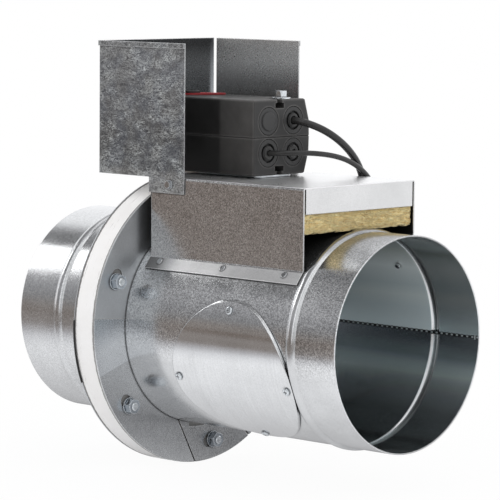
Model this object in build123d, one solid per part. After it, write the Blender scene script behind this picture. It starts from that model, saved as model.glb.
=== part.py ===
from build123d import *
from math import acos, asin, atan2, ceil, cos, degrees, hypot, pi, radians, sin, sqrt, tan
import os

# Round fire damper, nominal duct size 200.
# +X runs along the duct towards the long near spigot, +Z is up towards the actuator,
# and the inspection cover looks towards -Y. The origin is on the duct axis, in the middle
# plane of the insulating ring, where the blade turns about the Z axis. Millimetres.

# Duct casing
duct_diameter = 199.0
duct_wall = 1.25
near_mouth_x = 280.5
far_mouth_x = -133.0
spigot_length = 53.0
bead_width = 11.5
bead_height = 2.4

# Insulating ring and its flanges
ring_border = 39.5
board_thickness = 25.0
flange_sheet = 1.25
flange_tube_gap = 0.05
strip_thickness = 2.0
strip_width = 24.0
gasket_thickness = 0.7
gasket_lip = 1.8
gasket_from, gasket_to = 177.0, 202.0

# Flange joints, as angles in the YZ plane from +Y towards +Z
joint_upper_side = 175.5
joint_side_lower = 262.0
joint_lower_upper = 297.0
joint_slant = 36.0
joint_slit = 1.8
joint_fine = 0.4
lower_edge_relief = 4.6
lower_relief_span = 14.0

# Flange bolts
bolt_circle_shift = 1.25
bolt_count = 6
bolt_first_angle = 38.5
bolt_diameter = 8.0
bolt_end_x = 23.4
bolt_head_height = 5.3
nut_across_flats = 13.0
nut_height = 6.8
washer_diameter = 16.0
washer_thickness = 1.6
keyhole_diameter = 12.6
keyhole_offset = 6.0

# Blade and its shaft
blade_edge_gap = 3.75
blade_thickness = 24.0
blade_skin = 0.8
seal_edge_gap = 0.75
seal_width = 4.0
seal_lip = 1.4
shaft_diameter = 12.0
shaft_overlap = 52.0
shaft_slot_clearance = 0.3
bush_diameter = 16.0
bush_running_gap = 0.05
bracket_width = 22.0
bracket_thickness = 2.5
bracket_inset = 10.5
bracket_length = 40.0
bracket_bolt_inset = 8.0
blade_bolt_diameter = 5.0
blade_bolt_head = 3.0
blade_bolt_flats = 8.0

# Blade stops
stop_depth = 8.0
stop_foot = 9.0
stop_sheet = 1.5
stop_half_angle = 78.0
stop_gap = 0.1

# Inspection cover
cover_x = 150.8
cover_angle = 202.5
cover_length = 150.0
cover_width = 140.0
cover_sheet = 1.0
cover_height = 2.8
cover_edge_gap = 0.4
cover_edge_round = 0.8
cover_bead_gap = 0.15
access_margin = 13.0
cover_gasket_width = 8.0
cover_screw_inset = 6.5
cover_screw_diameter = 4.0
cover_screw_head = 7.5
cover_screw_head_height = 2.3

# Saddle console over the near casing
console_start_x = 23.8
console_end_x = 219.6
console_width = 150.8
console_above_ring = 3.1
console_sheet = 1.25
console_bend = 1.2
foot_reach = 6.1
foot_length = 14.6
foot_gap = 0.1
lip_depth = 24.0
lip_side_gap = 2.0
rivet_inset = 15.5
rivet_diameter = 3.2
rivet_head_diameter = 6.6
rivet_head_height = 1.2
wool_start_x = 20.1
wool_lip_gap = 0.6
wool_side_gap = 0.3
wool_tube_gap = 0.3

# Guard round the spindle
guard_start_x = -46.8
guard_end_x = 68.1
guard_height = 124.9
guard_overlap = 1.1
guard_tab_x = 21.2
guard_tab_drop = 15.2
guard_sheet = 1.0
guard_hem = 4.8
guard_rear_shift = 5.5
guard_screw_x = 48.7
guard_screw_drop = 6.8
guard_screw_head = 7.6
guard_screw_head_height = 2.4

# Actuator
actuator_end_x = 116.7
actuator_back_x = -38.0
actuator_near_y = -34.1
actuator_far_y = 34.1
actuator_bulge = 6.6
actuator_bulge_half = 15.0
actuator_above_console = 2.6
actuator_height = 70.4
actuator_split_height = 35.3
actuator_edge = 1.6
actuator_back_round = 14.0
split_groove = 0.5
spindle_diameter = 28.0
spindle_running_gap = 0.06
plate_sheet = 2.0
plate_width = 46.0
plate_end_x = 113.0
plate_back_x = -30.0
stack_gap = 0.3
indicator_radius = 33.0
indicator_root = 12.5
indicator_tip = 5.0
indicator_sheet = 1.4
indicator_angle = 45.0
hub_diameter = 17.0
hub_height = 2.6

# Cable entries in the actuator's end face
port_pitch_y, port_pitch_z = 33.4, 29.7
port_centre_y, port_rise = 2.4, 0.25
port_recess_diameter = 26.6
port_body_diameter = 25.6
port_recess_depth = 8.0
port_dome_diameter = 18.0
port_dome_height = 1.4
grommet_groove = 2.2
notch_width, notch_height = 11.6, 4.7
notch_stem_width, notch_stem_height = 6.8, 3.4
notch_depth = 16.0
notch_y = 0.5
pin_diameter = 5.0
cover_bolt_x, cover_bolt_y = 107.5, 12.0
cover_bolt_flats = 10.0
cover_bolt_height = 6.0
cover_bolt_washer = 17.5
cover_bolt_washer_height = 1.5
cover_bolt_shank = 6.0
cover_bolt_depth = 6.0

# Cables
thick_diameter = 7.0
thin_diameter = 5.0
cable_hole_gap = 0.35
coil_x = 100.5
coil_behind_console = 16.1
coil_below_top = 52.1
coil_tilt = 8.2
core_diameter = 1.5
core_length = 36.0
core_circle = 4.2
ferrule_diameter = 1.9
ferrule_length = 8.0
tie_width = 3.6
tie_thickness = 1.2

# Sizes that follow from the values above
duct_r = duct_diameter / 2
bore_r = duct_r - duct_wall
ring_r = duct_r + ring_border
board_face = board_thickness / 2
flange_face = board_face + flange_sheet
near_bead_x = near_mouth_x - spigot_length
far_bead_x = far_mouth_x + spigot_length
bolt_circle_r = (duct_r + ring_r) / 2 + bolt_circle_shift
shaft_r = shaft_diameter / 2
bush_r = bush_diameter / 2
blade_r = bore_r - blade_edge_gap
seal_r = bore_r - seal_edge_gap
bracket_high = blade_r - bracket_inset
bracket_low = bracket_high - bracket_length
blade_face = blade_thickness / 2
console_half = console_width / 2
console_top_z = ring_r + console_above_ring
guard_top_z = console_top_z + guard_height
guard_bottom_z = console_top_z - guard_overlap
guard_tab_z = console_top_z - guard_tab_drop
guard_screw_z = console_top_z - guard_screw_drop
actuator_bottom_z = console_top_z + actuator_above_console
actuator_top_z = actuator_bottom_z + actuator_height
actuator_split_z = actuator_bottom_z + actuator_split_height
port_centre_z = actuator_split_z + port_rise
guard_inner = console_half + 0.1
guard_outer = guard_inner + guard_sheet
stop_face = max(board_face, blade_face + 0.4) + stop_gap
foot_tangent_r = duct_r + foot_gap
foot_fold_r = hypot(foot_tangent_r, foot_reach)
foot_angle = degrees(atan2(foot_reach, foot_tangent_r) + acos((console_sheet - console_half) / foot_fold_r))
wool_bottom = duct_r + wool_tube_gap
cover_out_r = duct_r + cover_edge_gap + cover_height
cover_in_r = cover_out_r - cover_sheet
plate_bottom_z = console_top_z + stack_gap
plate_top_z = plate_bottom_z + plate_sheet

coil_y = console_half + coil_behind_console
coil_z = console_top_z - coil_below_top
port_floor = actuator_end_x - port_recess_depth
port_places = {}
for row, label_z in ((-1, "low"), (1, "high")):
    for column, label_y in ((-1, "near"), (1, "far")):
        port_places[label_z + "_" + label_y] = (port_centre_y + column * port_pitch_y / 2,
                                                port_centre_z + row * port_pitch_z / 2)


def route(place, from_port, from_edge, from_coil):
    """A cable's points: steps from its port, from the console's rear top edge and from its coil."""
    y, z = port_places[place]
    points = [(actuator_end_x + dx, y + dy, z + dz) for dx, dy, dz in from_port]
    points += [(actuator_end_x + dx, console_half + dy, console_top_z + dz) for dx, dy, dz in from_edge]
    return points + [(coil_x + dx, coil_y + dy, coil_z + dz) for dx, dy, dz in from_coil]


# Each lead leaves its port, passes over the console's rear edge and runs down to its coil.
thick_route = route("high_far", [
    (-6.8, -1.8, 0.7), (4.3, 0.1, -0.1), (17.8, 5.5, -3.3), (28.3, 14.9, -9.5), (34.3, 27.4, -18.7),
], [
    (35.6, -14.9, 23.1), (33.8, -1.4, 10.1), (30.8, 8.6, -4.6), (27.8, 13.1, -21.6),
], [
    (42.3, -1.6, 12.5),
])
thin_route = route("low_near", [
    (-7.5, -1.1, -0.2), (4.3, 0.7, 0.2), (17.8, 6.3, 0.8), (28.8, 16.8, 1.2), (35.9, 31.3, 0.2),
], [
    (39.3, -41.4, 20.9), (40.1, -23.9, 16.1), (39.8, -6.9, 8.4), (38.8, 8.1, -2.3), (36.3, 19.1, -16.1),
], [
    (47.5, 9.5, 20.5), (40.0, 12.5, 5.5), (31.5, 10.0, -7.5),
])
# Each tail leaves the bottom of its coil towards the ring.
thick_tail = route("high_far", [], [], [(-3.5, 6.5, -45.4), (-15.0, 7.0, -45.7), (-26.5, 7.8, -46.8)])
thin_tail = route("low_near", [], [], [(-3.5, 9.8, -29.4), (-15.0, 14.0, -30.0), (-26.5, 15.6, -31.8)])

OVER = 20.0
parts = {}


def ring_x(x0, x1, r_out, r_in):
    """A tube about the X axis."""
    body = Cylinder(r_out, x1 - x0) - Cylinder(r_in, x1 - x0 + 2)
    return Pos((x0 + x1) / 2, 0, 0) * Rot(0, 90, 0) * body


def rod(start, end, radius):
    """A round bar between two points."""
    a, b = Vector(*start), Vector(*end)
    plane = Plane(origin=a, z_dir=b - a)
    return plane * Pos(0, 0, (b - a).length / 2) * Cylinder(radius, (b - a).length)


def block(x0, x1, y0, y1, z0, z1):
    """A box between two corners."""
    return Pos((x0 + x1) / 2, (y0 + y1) / 2, (z0 + z1) / 2) * Box(x1 - x0, y1 - y0, z1 - z0)


def yz(radius, angle):
    """The Y and Z of a point at a radius and an angle about the duct axis."""
    return radius * cos(radians(angle)), radius * sin(radians(angle))


def radial_plane(x, angle, radius):
    """A plane on the duct's surface, its X along the duct and its Z pointing outwards."""
    y, z = yz(radius, angle)
    return Plane(origin=(x, y, z), x_dir=(1, 0, 0), z_dir=(0, y, z))


def hexagon(flats, height):
    """A hexagonal prism standing on its origin."""
    return extrude(RegularPolygon(flats / 2, 6, major_radius=False), height)


def sector(x0, x1, r, start, end):
    """A pie-shaped slice about the X axis, used to keep or to cut a stretch of a ring."""
    steps = max(2, ceil((end - start) / 30))
    far = r / cos(radians((end - start) / steps / 2))
    outline = [(0, 0)] + [yz(far, start + (end - start) * i / steps) for i in range(steps + 1)]
    face = make_face(Polyline(*outline, close=True))
    return Plane.YZ.offset(x0) * extrude(face, x1 - x0)


def bent_strip(points, thickness, length, radius):
    """Sheet metal: an open profile offset to its thickness and extruded."""
    path = FilletPolyline(*points, radius=radius)
    outline = Wire(path.edges()).offset_2d(thickness, side=Side.LEFT)
    return extrude(make_face(outline), length)


def cord_path(points, diameter, name):
    """Straight runs joined by arcs, each as large as its two runs allow."""
    runs = [(Vector(*b) - Vector(*a)) for a, b in zip(points, points[1:])]
    radii = []
    for before, after in zip(runs, runs[1:]):
        turn = before.get_angle(after)
        radii.append(0.45 * min(before.length, after.length) / tan(radians(turn / 2)))
    print(name, "radii in diameters:", [round(r / diameter, 1) for r in radii])
    return FilletPolyline(*points, radius=radii)


def cord_tube(points, diameter, name):
    """A cable along its route, with its length printed against its volume."""
    path = cord_path(points, diameter, name)
    start = Vector(*points[1]) - Vector(*points[0])
    tube = sweep(Plane(origin=points[0], z_dir=start) * Circle(diameter / 2), path=path)
    length = path.length
    print(name, "length", round(length, 1), "volume share",
          round(tube.volume / (pi * diameter ** 2 / 4 * length), 4))
    return tube


def coil_frame():
    """The plane of the coils: X along the duct, Z pointing away from the console."""
    tilt = radians(coil_tilt)
    return Plane(origin=(coil_x, coil_y, coil_z), x_dir=(1, 0, 0), z_dir=(0, cos(tilt), sin(tilt)))


def coil_ring(layers, columns, mean_radius, diameter):
    """The outer shape of a wound coil, layers deep and columns wide."""
    ring = Cylinder(mean_radius + layers * diameter / 2, columns * diameter)
    ring -= Cylinder(mean_radius - layers * diameter / 2, columns * diameter + 2)
    return coil_frame() * fillet(ring.edges(), diameter * 0.4)


# Duct casings


def bead_profile(x0, x1, bead_x):
    """Half section of a casing tube with a rolled bead, in X and radius."""
    half, inner_half = bead_width / 2, bead_width / 2 - 0.8
    line = [
        Line((x0, duct_r), (bead_x - half, duct_r)),
        ThreePointArc((bead_x - half, duct_r), (bead_x, duct_r + bead_height), (bead_x + half, duct_r)),
        Line((bead_x + half, duct_r), (x1, duct_r)),
        Line((x1, duct_r), (x1, bore_r)),
        Line((x1, bore_r), (bead_x + inner_half, bore_r)),
        ThreePointArc((bead_x + inner_half, bore_r), (bead_x, bore_r + bead_height),
                      (bead_x - inner_half, bore_r)),
        Line((bead_x - inner_half, bore_r), (x0, bore_r)),
        Line((x0, bore_r), (x0, duct_r)),
    ]
    return Plane.XZ * make_face(Wire(line))


def casing(x0, x1, bead_x):
    return revolve(bead_profile(x0, x1, bead_x), Axis.X, 360)


def cover_prism(margin):
    """A radial prism with the cover's outline, smaller all round by a margin."""
    face = Ellipse(cover_length / 2 - margin, cover_width / 2 - margin)
    plane = radial_plane(cover_x, cover_angle, duct_r * 0.6)
    return extrude(plane * face, duct_r * 0.6)


def shell_at_cover(r_out, r_in):
    reach = cover_length / 2 + OVER
    return ring_x(cover_x - reach, cover_x + reach, r_out, r_in)


def cover_screw_planes():
    """The four screw places, on the cover's long and short axes."""
    places = []
    for turn in range(4):
        along = (cover_length / 2 - cover_screw_inset) * cos(radians(90 * turn))
        across = (cover_width / 2 - cover_screw_inset) * sin(radians(90 * turn))
        lean = degrees(asin(across / cover_out_r))
        places.append(radial_plane(cover_x + along, cover_angle - lean, cover_out_r))
    return places


def rivet_planes():
    """Where the console's feet are riveted, on both sides."""
    span = console_end_x - console_start_x
    xs = [console_start_x + rivet_inset, console_start_x + span / 2, console_end_x - rivet_inset - 4.5]
    return [radial_plane(x, angle, foot_tangent_r + console_sheet)
            for angle in (foot_angle, 180 - foot_angle) for x in xs]


near_duct = casing(board_face, near_mouth_x, near_bead_x)
near_duct -= cover_prism(access_margin)
for plane in cover_screw_planes():
    near_duct -= plane * Cylinder(cover_screw_diameter / 2 + 0.1, 30)
for plane in rivet_planes():
    near_duct -= plane * Cylinder(rivet_diameter / 2 + 0.1, 30)
parts["near_duct"] = near_duct
parts["far_duct"] = casing(far_mouth_x, -board_face, far_bead_x)

# Flanges


def bolt_angles():
    return [bolt_first_angle + 360 / bolt_count * i for i in range(bolt_count)]


def keyholes(x0, x1):
    """The mounting holes: a round hole beside each bolt, joined to it by a slot."""
    slot_r = bolt_diameter / 2 + 0.4
    cuts = []
    for angle in bolt_angles():
        y, z = yz(bolt_circle_r, angle)
        back = Vector(0, sin(radians(angle)), -cos(radians(angle))) * keyhole_offset
        round_hole = rod((x0, y + back.Y, z + back.Z), (x1, y + back.Y, z + back.Z), keyhole_diameter / 2)
        slot = rod((x0, y, z), (x1, y, z), slot_r)
        neck = Plane(origin=((x0 + x1) / 2, y + back.Y / 2, z + back.Z / 2), z_dir=(1, 0, 0), x_dir=back)
        cuts += [round_hole, slot, neck * Box(keyhole_offset, 2 * slot_r, x1 - x0)]
    return cuts


flange = ring_x(board_face, flange_face, ring_r, duct_r + flange_tube_gap)
for cut in keyholes(board_face - 1, flange_face + 1):
    flange -= cut


def flange_piece(start, start_cut, end, end_cut):
    """The stretch of the flange between two joints, cut back by their slits."""
    middle = (duct_r + ring_r) / 2
    piece = flange & sector(board_face - 1, flange_face + 1, 2 * ring_r, start - 30, end + 30)
    for y_z_angle, (slant, width), keep in ((start, start_cut, 1), (end, end_cut, -1)):
        y, z = yz(middle, y_z_angle)
        along = yz(1, y_z_angle + slant)
        plane = Plane(origin=(flange_face, y, z), x_dir=(0, *along), z_dir=(1, 0, 0))
        waste = plane * Pos(0, -keep * (ring_r - width / 2), 0) * Box(3 * ring_r, 2 * ring_r, OVER)
        near = sector(board_face - 2, flange_face + 2, 2 * ring_r, y_z_angle - 40, y_z_angle + 40)
        piece -= waste & near
    return piece


fine, slit = (0.0, joint_fine), (joint_slant, joint_slit)
shallow = (joint_slant / 2, joint_slit)
near_upper = flange_piece(joint_lower_upper - 360, shallow, joint_upper_side, fine)
near_side = flange_piece(joint_upper_side, fine, joint_side_lower, slit)
near_lower = flange_piece(joint_side_lower, slit, joint_lower_upper, shallow)
relief_span = (joint_side_lower, joint_side_lower + lower_relief_span)
near_lower -= (ring_x(board_face - 1, flange_face + 1, duct_r + lower_edge_relief, duct_r - 1)
               & sector(board_face - 1, flange_face + 1, 2 * ring_r, *relief_span))
parts["near_flange_upper"] = near_upper
parts["near_flange_side"] = near_side
parts["near_flange_lower"] = near_lower

far_flange = ring_x(-flange_face - gasket_thickness, -board_face - gasket_thickness, ring_r,
                    duct_r + flange_tube_gap)
gasket = ring_x(-board_face - gasket_thickness, -board_face, ring_r - 2, duct_r + flange_tube_gap)
gasket += (ring_x(-board_face - gasket_thickness, -board_face, ring_r + gasket_lip, ring_r - 3)
           & sector(-flange_face - OVER, 0, 2 * ring_r, gasket_from, gasket_to))
board = ring_x(-board_face, board_face, ring_r, bore_r + strip_thickness)
strip = ring_x(-strip_width / 2, strip_width / 2, bore_r + strip_thickness - 0.05, bore_r)
far_stack = -flange_face - gasket_thickness
bolts, nuts, washers = [], [], []
for angle in bolt_angles():
    y, z = yz(bolt_circle_r, angle)
    hole = rod((far_stack - 1, y, z), (flange_face, y, z), bolt_diameter / 2 + 0.3)
    far_flange -= hole
    gasket -= hole
    board -= hole
    turned = Plane(origin=(0, y, z), z_dir=(1, 0, 0), x_dir=(0, *yz(1, angle + 8)))
    shank = rod((far_stack, y, z), (bolt_end_x, y, z), bolt_diameter / 2)
    shank = chamfer(shank.edges().sort_by(Axis.X)[-1], 0.8)
    head = turned.offset(far_stack - bolt_head_height) * hexagon(nut_across_flats, bolt_head_height)
    bolts.append(shank + head)
    washer = Cylinder(washer_diameter / 2, washer_thickness) - Cylinder(bolt_diameter / 2 + 0.2, 5)
    washers.append(turned.offset(flange_face + washer_thickness / 2) * washer)
    nut = hexagon(nut_across_flats, nut_height)
    nut &= Pos(0, 0, nut_height / 2) * Cone(nut_across_flats * 0.62, nut_across_flats * 0.535, nut_height)
    nut -= Cylinder(bolt_diameter / 2 + 0.05, 3 * nut_height)
    nuts.append(turned.offset(flange_face + washer_thickness) * nut)
bush_hole = rod((0, 0, -ring_r - 5), (0, 0, ring_r + 5), bush_r + 0.05)
parts["far_flange"] = far_flange
parts["flange_gasket"] = gasket
parts["insulating_ring"] = board - bush_hole
parts["intumescent_strip"] = strip - bush_hole
parts["flange_bolts"] = Compound(children=bolts)
parts["flange_nuts"] = Compound(children=nuts)
parts["flange_washers"] = Compound(children=washers)


def bush(z0, z1):
    """A plain shaft bush through the ring."""
    body = rod((0, 0, z0), (0, 0, z1), bush_r)
    return body - rod((0, 0, z0 - 5), (0, 0, z1 + 5), shaft_r + bush_running_gap)


bush_in = bore_r + 0.6
bush_out = ring_r - 0.6
parts["upper_bush"] = bush(bush_in, bush_out)
parts["lower_bush"] = bush(-bush_out, -bush_in)

# Blade: it is closed at rest, and its +Y half swings towards +X as it opens

core = Rot(0, 90, 0) * Cylinder(blade_r, blade_thickness - 2 * blade_skin)
slot_half = shaft_r + shaft_slot_clearance
slots = [block(-slot_half, slot_half, -slot_half, slot_half, blade_r - shaft_overlap, blade_r + OVER),
         block(-slot_half, slot_half, -slot_half, slot_half, -blade_r - OVER, -blade_r + shaft_overlap)]
bolt_zs = [bracket_low + bracket_bolt_inset, bracket_high - bracket_bolt_inset]
bolt_lines = [s * z for s in (1, -1) for z in bolt_zs]
reach = blade_face + bracket_thickness + blade_bolt_head + 5
skins = {}
for name, side in (("near", 1), ("far", -1)):
    skin = Pos(side * (blade_face - blade_skin / 2), 0, 0) * Rot(0, 90, 0) * Cylinder(blade_r - 1, blade_skin)
    for z in bolt_lines:
        skin -= rod((-reach, 0, z), (reach, 0, z), blade_bolt_diameter / 2 + 0.2)
    skins[name] = skin
for slot in slots:
    core -= slot
for z in bolt_lines:
    core -= rod((-reach, 0, z), (reach, 0, z), blade_bolt_diameter / 2 + 0.2)
seal = ring_x(-seal_width / 2, seal_width / 2, seal_r - seal_lip, blade_r + 0.05)
seal += ring_x(-seal_lip / 2, seal_lip / 2, seal_r, seal_r - seal_lip - 0.5)
seal -= rod((0, 0, -ring_r), (0, 0, ring_r), bush_r + 1)
parts["blade_core"] = core
parts["blade_near_skin"] = skins["near"]
parts["blade_far_skin"] = skins["far"]
parts["blade_seal"] = seal

brackets, blade_bolts, blade_nuts = [], [], []
for end in (1, -1):
    for side in (1, -1):
        x0, x1 = sorted((side * (blade_face + 0.05), side * (blade_face + 0.05 + bracket_thickness)))
        z0, z1 = sorted((end * bracket_low, end * bracket_high))
        plate = block(x0, x1, -bracket_width / 2, bracket_width / 2, z0, z1)
        plate = fillet(plate.edges().filter_by(Axis.X), 5)
        for z in bolt_zs:
            plate -= rod((-reach, 0, end * z), (reach, 0, end * z), blade_bolt_diameter / 2 + 0.2)
        brackets.append(plate)
for z in bolt_lines:
    outer = blade_face + 0.05 + bracket_thickness
    pin = rod((-outer - 3.5, 0, z), (outer, 0, z), blade_bolt_diameter / 2)
    head = Plane(origin=(outer, 0, z), z_dir=(1, 0, 0)) * hexagon(blade_bolt_flats, blade_bolt_head)
    blade_bolts.append(pin + head)
    nut = Plane(origin=(-outer, 0, z), z_dir=(-1, 0, 0)) * hexagon(blade_bolt_flats, blade_bolt_head)
    blade_nuts.append(nut - rod((-reach, 0, z), (reach, 0, z), blade_bolt_diameter / 2 + 0.05))
parts["blade_brackets"] = Compound(children=brackets)
parts["blade_bolts"] = Compound(children=blade_bolts)
parts["blade_nuts"] = Compound(children=blade_nuts)


def shaft(z_in, z_out):
    """A round shaft whose end in the blade is square, crossed by the blade's bolts."""
    square_end = (blade_r - 3) * (1 if z_out > 0 else -1)
    low, high = sorted((z_in, square_end))
    body = block(-shaft_r + 0.05, shaft_r - 0.05, -shaft_r + 0.05, shaft_r - 0.05, low, high)
    body += rod((0, 0, square_end), (0, 0, z_out), shaft_r)
    for z in bolt_lines:
        body -= rod((-reach, 0, z), (reach, 0, z), blade_bolt_diameter / 2 + 0.1)
    return body


shaft_top = actuator_top_z + stack_gap + indicator_sheet + hub_height - 0.6
shaft_in = blade_r - shaft_overlap + 1
parts["drive_shaft"] = shaft(shaft_in, shaft_top)
parts["stub_shaft"] = shaft(-shaft_in, -bush_out + 1)


def blade_stop(side, toward):
    """A half ring of angle section that the closed blade's edge rests against."""
    face = side * stop_face
    x0, x1 = sorted((face, face + side * stop_sheet))
    stop = ring_x(x0, x1, bore_r - 0.1, bore_r - stop_depth)
    x0, x1 = sorted((face, face + side * stop_foot))
    stop += ring_x(x0, x1, bore_r - 0.1, bore_r - 0.1 - stop_sheet)
    return stop & sector(-60, 60, 2 * ring_r, toward - stop_half_angle, toward + stop_half_angle)


parts["near_blade_stop"] = blade_stop(1, 180)
parts["far_blade_stop"] = blade_stop(-1, 0)

# Inspection cover

cover = cover_prism(0) & shell_at_cover(cover_out_r, cover_in_r)
rim = (cover_prism(0) - cover_prism(cover_sheet)) & shell_at_cover(cover_out_r, duct_r + cover_edge_gap)
cover = cover + rim
for plane in cover_screw_planes():
    cover -= plane * Cylinder(cover_screw_diameter / 2 + 0.1, 30)
cover_edges = [e for e in cover.edges() if e.length > cover_length * 2]
rim_top = sorted(cover_edges, key=lambda e: -hypot(e.center().Y, e.center().Z))[:1]
cover = fillet(rim_top, cover_edge_round)
# Its end is notched where it rides over the foot of the casing's bead.
bead_notch = ring_x(near_bead_x - bead_width / 2 - cover_bead_gap, near_bead_x + bead_width + OVER,
                    duct_r + bead_height + cover_bead_gap, bore_r)
cover -= bead_notch
parts["inspection_cover"] = cover
gasket_ring = cover_prism(cover_sheet + 0.6) - cover_prism(cover_sheet + 0.6 + cover_gasket_width)
cover_gasket = gasket_ring & shell_at_cover(cover_in_r, duct_r + 0.05)
for plane in cover_screw_planes():
    cover_gasket -= plane * Cylinder(cover_screw_diameter / 2 + 0.1, 30)
cover_gasket -= bead_notch
parts["cover_gasket"] = cover_gasket
screws = []
for plane in cover_screw_planes():
    head = Pos(0, 0, cover_screw_head_height / 2) * Cylinder(cover_screw_head / 2, cover_screw_head_height)
    head = fillet(head.edges().sort_by(Axis.Z)[-1], cover_screw_head_height * 0.6)
    cross = Box(cover_screw_head * 0.55, 0.9, 1.6) + Box(0.9, cover_screw_head * 0.55, 1.6)
    head -= Pos(0, 0, cover_screw_head_height) * cross
    screws.append(plane * (head + Pos(0, 0, -3.5) * Cylinder(cover_screw_diameter / 2, 7)))
parts["cover_screws"] = Compound(children=screws)

# Console: a folded saddle with a wool filling


def foot_point(along, lift):
    """A point on the foot's tangent line, along it from the contact and lifted off it."""
    y, z = yz(foot_tangent_r + lift, foot_angle)
    return y - along * sin(radians(foot_angle)), z + along * cos(radians(foot_angle))


side_in = -(console_half - console_sheet)
fold_y, fold_z = foot_point(-foot_reach, 0)
foot_end = foot_point(foot_length - foot_reach, 0)
inner_top = console_top_z - console_sheet
half_profile = [foot_end, (fold_y, fold_z), (side_in, inner_top)]
profile = half_profile + [(-y, z) for y, z in reversed(half_profile)]
saddle = bent_strip(profile, console_sheet, console_end_x - console_start_x, console_bend)
saddle = Plane.YZ.offset(console_start_x) * saddle
lip_half = console_half - console_sheet - lip_side_gap
lip = block(console_end_x - console_sheet, console_end_x, -lip_half, lip_half,
            console_top_z - lip_depth, console_top_z - console_sheet / 2)
console = saddle + lip
for plane in rivet_planes():
    console -= plane * Cylinder(rivet_diameter / 2 + 0.1, 30)
parts["console"] = console

wool = block(wool_start_x, console_end_x - console_sheet - wool_lip_gap,
             side_in + wool_side_gap, -side_in - wool_side_gap, wool_bottom, inner_top - wool_side_gap)
wool = fillet(wool.edges().filter_by(Axis.X).group_by(Axis.Z)[-1], console_bend + wool_side_gap)
for angle in bolt_angles():
    y, z = yz(bolt_circle_r, angle)
    wool -= rod((wool_start_x - 5, y, z), (bolt_end_x + 2, y, z), washer_diameter / 2 + 1)
parts["console_wool"] = wool

rivets = []
for plane in rivet_planes():
    head = Pos(0, 0, rivet_head_height / 2) * Cylinder(rivet_head_diameter / 2, rivet_head_height)
    head = fillet(head.edges().sort_by(Axis.Z)[-1], rivet_head_height * 0.8)
    grip = console_sheet + 0.1 + duct_wall
    shank = Pos(0, 0, -(grip + 2) / 2) * Cylinder(rivet_diameter / 2, grip + 2)
    tail = Pos(0, 0, -grip - 1.6) * Cylinder(rivet_diameter * 0.8, 2.2)
    rivets.append(plane * (head + shank + tail))
parts["console_rivets"] = Compound(children=rivets)

# Guard


def guard_side(x0, x1, side):
    """One side plate: a panel, a tab that laps the console, and a folded top edge."""
    y0, y1 = sorted((side * guard_inner, side * guard_outer))
    panel = block(x0, x1, y0, y1, guard_bottom_z, guard_top_z)
    panel += block(guard_tab_x, x1, y0, y1, guard_tab_z, guard_bottom_z + 1)
    h0, h1 = sorted((side * guard_outer, side * (guard_outer + guard_sheet)))
    panel += block(x0, x1, h0, h1, guard_top_z - guard_hem, guard_top_z)
    hole = rod((guard_screw_x, y0 - 5, guard_screw_z), (guard_screw_x, y1 + 5, guard_screw_z), 2.1)
    return panel - hole


guard_front = guard_side(guard_start_x, guard_end_x, -1)
guard_front += block(guard_start_x, guard_start_x + guard_sheet, -guard_outer, guard_outer,
                     guard_bottom_z, guard_top_z)
guard_front += block(guard_start_x - guard_sheet, guard_start_x, -guard_outer - guard_sheet, guard_outer,
                     guard_top_z - guard_hem, guard_top_z)
parts["guard_front"] = guard_front
parts["guard_rear"] = guard_side(guard_start_x + guard_rear_shift, guard_end_x + 1.8, 1)
guard_screws = []
for side in (-1, 1):
    plane = Plane(origin=(guard_screw_x, side * guard_outer, guard_screw_z), z_dir=(0, side, 0))
    head = Pos(0, 0, 0.5) * Cylinder(guard_screw_head / 2 + 0.9, 1)
    head += Pos(0, 0, 1) * hexagon(guard_screw_head - 1, guard_screw_head_height)
    shank = Pos(0, 0, -4) * Cylinder(2, 8)
    guard_screws.append(plane * (head + shank))
parts["guard_screws"] = Compound(children=guard_screws)
screw_line = rod((guard_screw_x, -guard_outer, guard_screw_z), (guard_screw_x, guard_outer, guard_screw_z), 2.1)
parts["console"] = parts["console"] - screw_line
parts["console_wool"] = parts["console_wool"] - screw_line

# Actuator

bulge_y = actuator_far_y + actuator_bulge
outline = [
    (actuator_near_y, actuator_bottom_z), (actuator_far_y, actuator_bottom_z),
    (bulge_y - 0.5, actuator_split_z - actuator_bulge_half), (bulge_y, actuator_split_z),
    (bulge_y - 0.5, actuator_split_z + actuator_bulge_half), (actuator_far_y, actuator_top_z),
    (actuator_near_y, actuator_top_z),
]
body_length = actuator_end_x - actuator_back_x
housing = Plane.YZ.offset(actuator_back_x) * extrude(make_face(Polyline(*outline, close=True)), body_length)
back_edges = housing.edges().filter_by(Axis.Z).filter_by(lambda e: e.center().X < actuator_back_x + 1)
housing = fillet(back_edges, actuator_back_round)
front_edges = housing.edges().filter_by(Axis.Z).filter_by(lambda e: e.center().X > actuator_end_x - 1)
housing = fillet(front_edges, actuator_edge)
for z in (actuator_top_z, actuator_bottom_z):
    rim_face = housing.faces().filter_by(lambda f: abs(f.center().Z - z) < 0.01)[0]
    housing = chamfer(rim_face.edges(), actuator_edge * 0.6)
spindle_r = spindle_diameter / 2
housing -= rod((0, 0, actuator_bottom_z - 1), (0, 0, actuator_top_z + 1), spindle_r)

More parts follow.
